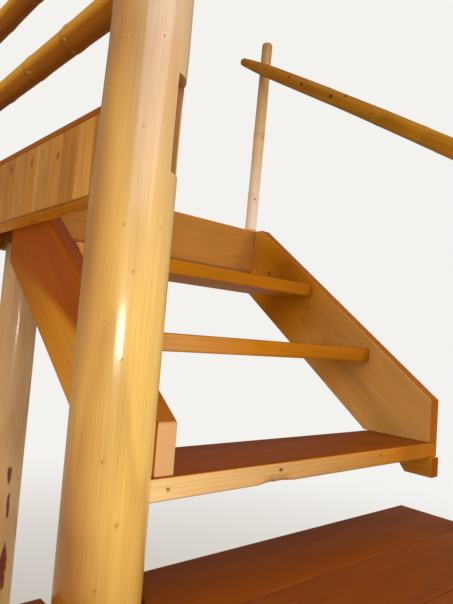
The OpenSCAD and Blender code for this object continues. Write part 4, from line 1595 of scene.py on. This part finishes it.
@dataclass
class Rails(SubAssembly):
    """The guard's log rails, the handrail and its two poles."""

    rail_heights: tuple[float, ...] = (2376.0, 2661.0, 2946.0)
    rail_length: float = 1800.0
    whorl_lead: float = 348.0
    whorl_pitch: float = 282.0
    whorl_clear: float = 110.0
    newel_radius: float = 84.0
    handrail_ends: Pair = (-306.0, 1001.0)
    handrail_x: float = 1134.0
    handrail_height: float = 2917.0
    handrail_bow: float = 7.5
    handrail_bed: Pair = (32.6, 29.8)
    pitch_angle: float = 31.6
    pole_x: float = 1187.0
    upper_pole_y: float = 916.0
    lower_pole_y: float = -221.0
    upper_pole_length: float = 923.0
    upper_pole_lean: float = 1.5

    def rail_scribe(self, wide: np.ndarray) -> np.ndarray:
        """A rail's end on a full-height log's surface: y = sqrt(r * r - x * x), r the log's radius."""
        return np.sqrt(self.newel_radius ** 2 - wide ** 2)

    def build(self) -> None:
        """Build rails, handrail and poles."""
        for n, height in enumerate(self.rail_heights):
            first = self.whorl_lead + n * self.whorl_pitch / 3
            whorls = tuple(np.arange(first, self.rail_length - self.whorl_clear, self.whorl_pitch))
            # More coats on each rail's lower side: partly real varnish, partly painted shade
            rail = PeeledPole(
                f"guard_rail_{n + 1}", (0.0, 0.0, height), AHEAD, UP, self.rail_length,
                radii=((0, 36.8), (1800, 34.4)), whorls=whorls, whorl_step=1.6, whorl_shade=0.45,
                whorl_width=7.0, knots=() if n else ((-122.7, 324.0, 9.0), (-137.0, 596.0, 9.0)),
                first_knot_angle=60.0 + 70.0 * n, under=0.9, coats=(0.3, 0.1), seed=3 + n, pitch=8.0,
                scribe=self.rail_scribe)
            self.fitter.fit(rail.node, rail.surface(), Finish.PEELED_SPRUCE_RAIL)
        self.handrail()
        self.poles()

    def handrail_line(self) -> tuple[np.ndarray, np.ndarray, float]:
        """The handrail's start, direction and length, in mm.

        Returns:
            The start, the direction and the length.
        """
        angle = math.radians(self.pitch_angle)
        low, high = self.handrail_ends
        start = np.array([self.handrail_x, low,
                          self.handrail_height + math.tan(angle) * (low - self.upper_pole_y)])
        return start, np.array([0.0, math.cos(angle), math.sin(angle)]), (high - low) / math.cos(angle)

    def bed_handrail(self, points: np.ndarray) -> np.ndarray:
        """Press a pole's surface back to the handrail's, so that the handrail beds in it.

        A point nearer than the handrail's radius to its centre line moves to the right until it is
        on the handrail's surface: dx = sqrt(r * r - p * p), with p its distance in the plane of the
        handrail and the height.

        Args:
            points: the pole's points.

        Returns:
            The points with the bed pressed in.
        """
        start, axis, length = self.handrail_line()
        rel = points - start
        s, x = rel @ axis, rel[..., 0]
        p = rel @ np.cross(RIGHT, axis) - self.handrail_bow * np.sin(
            math.pi * np.clip(s / length, 0, 1))
        r = between(self.handrail_bed, np.clip(s / length, 0, 1))
        depth = np.sqrt(np.maximum(r * r - p * p, 0.0))
        inside = (np.abs(p) < r) & (x < depth) & (s > 0) & (s < length)
        out = points.copy()
        out[..., 0] = np.where(inside, start[0] + depth, points[..., 0])
        return out

    def handrail(self) -> None:
        """Build the handrail, its knots placed down from its upper end."""
        start, axis, length = self.handrail_line()
        knots = tuple((turn, length - down, size) for turn, down, size in (
            (-71, 403, 6.5), (-92, 500, 8.5), (-91, 691, 9.0), (-44, 758, 7.5), (-8, 645, 9.0),
            (-8, 1157, 9.0), (150, 860, 5.0), (60, 330, 5.0)))
        # Fewer coats on the handrail's lower side paint it lighter: painted light from below
        rail = PeeledPole(
            "handrail", tuple(start), tuple(axis), (0.0, -axis[2], axis[1]), length,
            radii=((0, 32.4), (1000, 30.4), (length - 190, 29.2), (length - 60, 22.0), (length, 18.0)),
            whorls=(290.0, 600.0, 930.0), whorl_step=0.5, whorl_shade=0.0, whorl_knots=0, knots=knots,
            bow=self.handrail_bow, under=-0.5, coats=(0.5, 0.9), seed=9, ease=7.0)
        self.fitter.fit(rail.node, rail.surface(), Finish.PEELED_SPRUCE_HANDRAIL)

    def poles(self) -> None:
        """Build the two poles that carry the handrail. The upper one leans a little."""
        lean = math.radians(self.upper_pole_lean)
        foot, (low, high) = node_box("upper_handrail_pole")[0], node_box("lower_handrail_pole")
        shared: dict[str, Any] = {"whorl_step": 0.8, "whorl_shade": 0.42, "ease": 12.0, "columns": 64,
                                  "pitch": 6.0, "shape_by": self.bed_handrail}
        upper = PeeledPole(
            "upper_handrail_pole", (self.pole_x, self.upper_pole_y, float(foot[2])),
            (0.0, -math.sin(lean), math.cos(lean)), RIGHT, self.upper_pole_length,
            radii=((0, 27.0), (500, 26.0), (923, 24.6)), whorls=(172.0, 472.0),
            first_knot_angle=-122.0, coats=(0.0, 1.0), seed=13, **shared)
        lower = PeeledPole(
            "lower_handrail_pole", (self.pole_x, self.lower_pole_y, float(low[2])), UP, RIGHT,
            float(high[2] - low[2]), radii=((0, 27.0), (1300, 25.0)), whorls=(230.0, 560.0, 900.0),
            first_knot_angle=-80.0, coats=(0.0, 0.4), seed=15, **shared)
        for pole in (upper, lower):
            self.fitter.fit(pole.node, pole.surface(), Finish.PEELED_POPLAR_POLE)


# The studio


@dataclass(frozen=True)
class SoftBox:
    """A rectangular soft light: its place and target, its size in metres, power and colour.

    Only those with a glint are mirrored in the varnish.
    """

    name: str
    place: Triple
    target: Triple
    size: Pair
    watts: float
    glint: bool = False
    colour: str = "FFF8F0"

    def hang(self) -> None:
        """Hang the light so that it faces its target."""
        data = bpy.data.lights.new(self.name, "AREA")
        data.shape, (data.size, data.size_y), data.energy = "RECTANGLE", self.size, self.watts
        data.color = linear_colour(self.colour)[:3]
        lamp = bpy.data.objects.new(self.name, data)
        lamp.visible_glossy = self.glint
        place, target = Vector(self.place), Vector(self.target)
        lamp.matrix_world = Matrix.Translation(place) @ (
            target - place).to_track_quat("-Z", "Y").to_matrix().to_4x4()
        bpy.context.scene.collection.objects.link(lamp)


@dataclass
class Studio:
    """Camera at the photograph's place, soft boxes, a pale floor and a pale world.

    Lengths are in metres here, save for the camera's sensor. Mirrored is how much of the backdrop a
    mirrored ray sees. The floor fades into the backdrop over the fade length, from fade start on.
    """

    eye: Triple = (-0.5949, -1.0008, 1.605)
    yaw: float = 40.9837
    pitch: float = 3.7487
    roll: float = -4.3605
    focal_px: float = 552.75
    frame_height: float = 604.0
    sensor_mm: float = 36.0
    clip: Pair = (0.05, 200.0)
    fill: float = 0.15
    mirrored: float = 0.1
    floor_half: float = 30.0
    floor_cells: int = 96
    floor_drop: float = 0.0005
    fade_start: float = 1.6
    fade_length: float = 4.4
    backdrop: str = "F4F2EE"
    lights: tuple[SoftBox, ...] = (
        SoftBox("front_panel", (-0.4, -3.9, 4.2), (0.2, 0.2, 1.8), (5.6, 3.2), 155.0, True, "F0F2FF"),
        SoftBox("camera_box", (-0.7, -1.18, 1.58), (0.0, 0.0, 1.58), (0.42, 0.2), 6.5, True),
        SoftBox("left_fill", (-5.2, 1.0, 2.3), (0.4, 0.6, 1.8), (4.0, 3.0), 170.0),
        SoftBox("near_right_fill", (3.0, -3.0, 2.4), (0.2, 0.2, 1.6), (1.5, 1.5), 60.0),
        SoftBox("overhead", (0.2, 0.4, 6.0), (0.2, 0.4, 0.0), (6.0, 6.0), 140.0),
        SoftBox("back_fill", (2.0, 5.6, 4.4), (0.3, 0.6, 1.4), (2.0, 2.0), 60.0),
        SoftBox("right_fill", (5.2, 0.2, 3.6), (0.6, 0.2, 1.4), (2.0, 2.0), 60.0))

    def build(self) -> None:
        """Set up the camera, the lights, the floor and the world."""
        scene = bpy.context.scene
        scene.view_settings.view_transform = "Standard"
        scene.camera = self.camera()
        for light in self.lights:
            light.hang()
        scene.world = self.world()
        self.floor()

    def camera(self) -> bpy.types.Object:
        """Make the camera: yaw to the right of +Y, pitch up, then roll about the view.

        Returns:
            The camera.
        """
        (sy, cy), (sp, cp), (sr, cr) = ((math.sin(math.radians(angle)), math.cos(math.radians(angle)))
                                        for angle in (self.yaw, self.pitch, self.roll))
        forward = np.array([cp * sy, cp * cy, sp])
        right = np.array([cy, -sy, 0.0])
        down = np.cross(forward, right)
        image_x, image_y = cr * right + sr * down, -sr * right + cr * down
        turn = Matrix(np.stack([image_x, -image_y, -forward], -1).tolist())
        data = bpy.data.cameras.new("photo_camera")
        data.sensor_fit = "VERTICAL"
        data.sensor_height = self.sensor_mm
        data.lens = self.focal_px / self.frame_height * self.sensor_mm
        data.clip_start, data.clip_end = self.clip
        camera = bpy.data.objects.new("photo_camera", data)
        camera.matrix_world = Matrix.Translation(self.eye) @ turn.to_4x4()
        bpy.context.scene.collection.objects.link(camera)
        return camera

    def seen_part(self, tree: bpy.types.NodeTree) -> bpy.types.NodeSocket:
        """How far a ray sees the plain backdrop: wholly from the camera and through clear things.

        A mirrored ray sees a tenth of it: at full strength it lays a grey veil on varnish seen at 10
        degrees. There is no metal or glass here.

        Args:
            tree: the node tree that it goes into.

        Returns:
            The share, from 0 to 1.
        """
        path = add_node(tree, "ShaderNodeLightPath")
        mirrored = add_node(tree, "ShaderNodeMath", {0: path.outputs["Is Glossy Ray"], 1: self.mirrored},
                            operation="MULTIPLY")
        straight = add_node(tree, "ShaderNodeMath", {0: path.outputs["Is Camera Ray"],
                                                     1: path.outputs["Is Transmission Ray"]},
                            operation="MAXIMUM")
        return add_node(tree, "ShaderNodeMath", {0: mirrored.outputs[0], 1: straight.outputs[0]},
                        operation="MAXIMUM").outputs[0]

    def world(self) -> bpy.types.World:
        """Make the world, which lights the stair evenly and shows the camera a plain backdrop.

        Returns:
            The world.
        """
        world = bpy.data.worlds.new("pale_world")
        world.use_nodes = True
        tree = world.node_tree
        tree.nodes.clear()
        light = add_node(tree, "ShaderNodeBackground", {"Color": linear_colour("FFFBF4"),
                                                        "Strength": self.fill})
        seen = add_node(tree, "ShaderNodeBackground", {"Color": linear_colour(self.backdrop),
                                                       "Strength": 1.0})
        mixed = add_node(tree, "ShaderNodeMixShader", {0: self.seen_part(tree), 1: light.outputs[0],
                                                       2: seen.outputs[0]})
        add_node(tree, "ShaderNodeOutputWorld", {"Surface": mixed.outputs[0]})
        return world

    def floor(self) -> None:
        """Lay a plain pale floor that fades into the backdrop away from the stair.

        The fade at distance d from the middle is the smooth step 3t^2 - 2t^3, with t the share of the
        fade length that d is past its start.
        """
        side = self.floor_cells + 1
        edge = np.linspace(-self.floor_half, self.floor_half, side)
        x, y = np.meshgrid(edge, edge, indexing="xy")
        points = np.stack([x.ravel(), y.ravel(), np.full(x.size, -self.floor_drop)], -1)
        i, j = np.meshgrid(np.arange(self.floor_cells), np.arange(self.floor_cells), indexing="ij")
        start = (i * side + j).ravel()
        quads = np.stack([start, start + 1, start + side + 1, start + side], -1)
        mesh = bpy.data.meshes.new("studio_floor")
        mesh.from_pydata(points.tolist(), [], quads.tolist())
        t = np.clip((np.hypot(points[:, 0], points[:, 1]) - self.fade_start) / self.fade_length, 0, 1)
        mesh.attributes.new("fade", "FLOAT", "POINT").data.foreach_set(
            "value", (3 * t ** 2 - 2 * t ** 3).astype(np.float32))
        mesh.materials.append(self.floor_paint())
        floor = bpy.data.objects.new("studio_floor", mesh)
        bpy.context.scene.collection.objects.link(floor)

    def floor_paint(self) -> bpy.types.Material:
        """Matt pale paint: near white to the camera, duller in what it throws on the wood.

        Returns:
            The material.
        """
        material = bpy.data.materials.new("matt_pale_floor")
        material.use_nodes = True
        tree = material.node_tree
        tree.nodes.clear()
        seen = self.seen_part(tree)
        tint = add_node(tree, "ShaderNodeMix", {0: seen, 6: linear_colour("C8BEAC"),
                                                7: linear_colour("DEDCD8")}, data_type="RGBA")
        paint = add_node(tree, "ShaderNodeBsdfDiffuse", {"Color": tint.outputs[2]})
        fade = add_node(tree, "ShaderNodeAttribute", attribute_name="fade").outputs["Fac"]
        share = add_node(tree, "ShaderNodeMath", {0: fade, 1: seen}, operation="MULTIPLY")
        far = add_node(tree, "ShaderNodeEmission", {"Color": linear_colour(self.backdrop),
                                                    "Strength": 1.0})
        mixed = add_node(tree, "ShaderNodeMixShader", {0: share.outputs[0], 1: paint.outputs[0],
                                                       2: far.outputs[0]})
        add_node(tree, "ShaderNodeOutputMaterial", {"Surface": mixed.outputs[0]})
        return material


def main() -> None:
    logging.basicConfig(level=logging.INFO, format="%(name)s %(message)s")
    Studio().build()
    fitter = Fitter()
    for assembly in (LogPosts, Platform, Flights, Landing, Rails):
        assembly(fitter).build()
    LOG.info("%d triangles in all", fitter.triangles)
    bpy.context.view_layer.update()


if __name__ == "__main__":
    main()
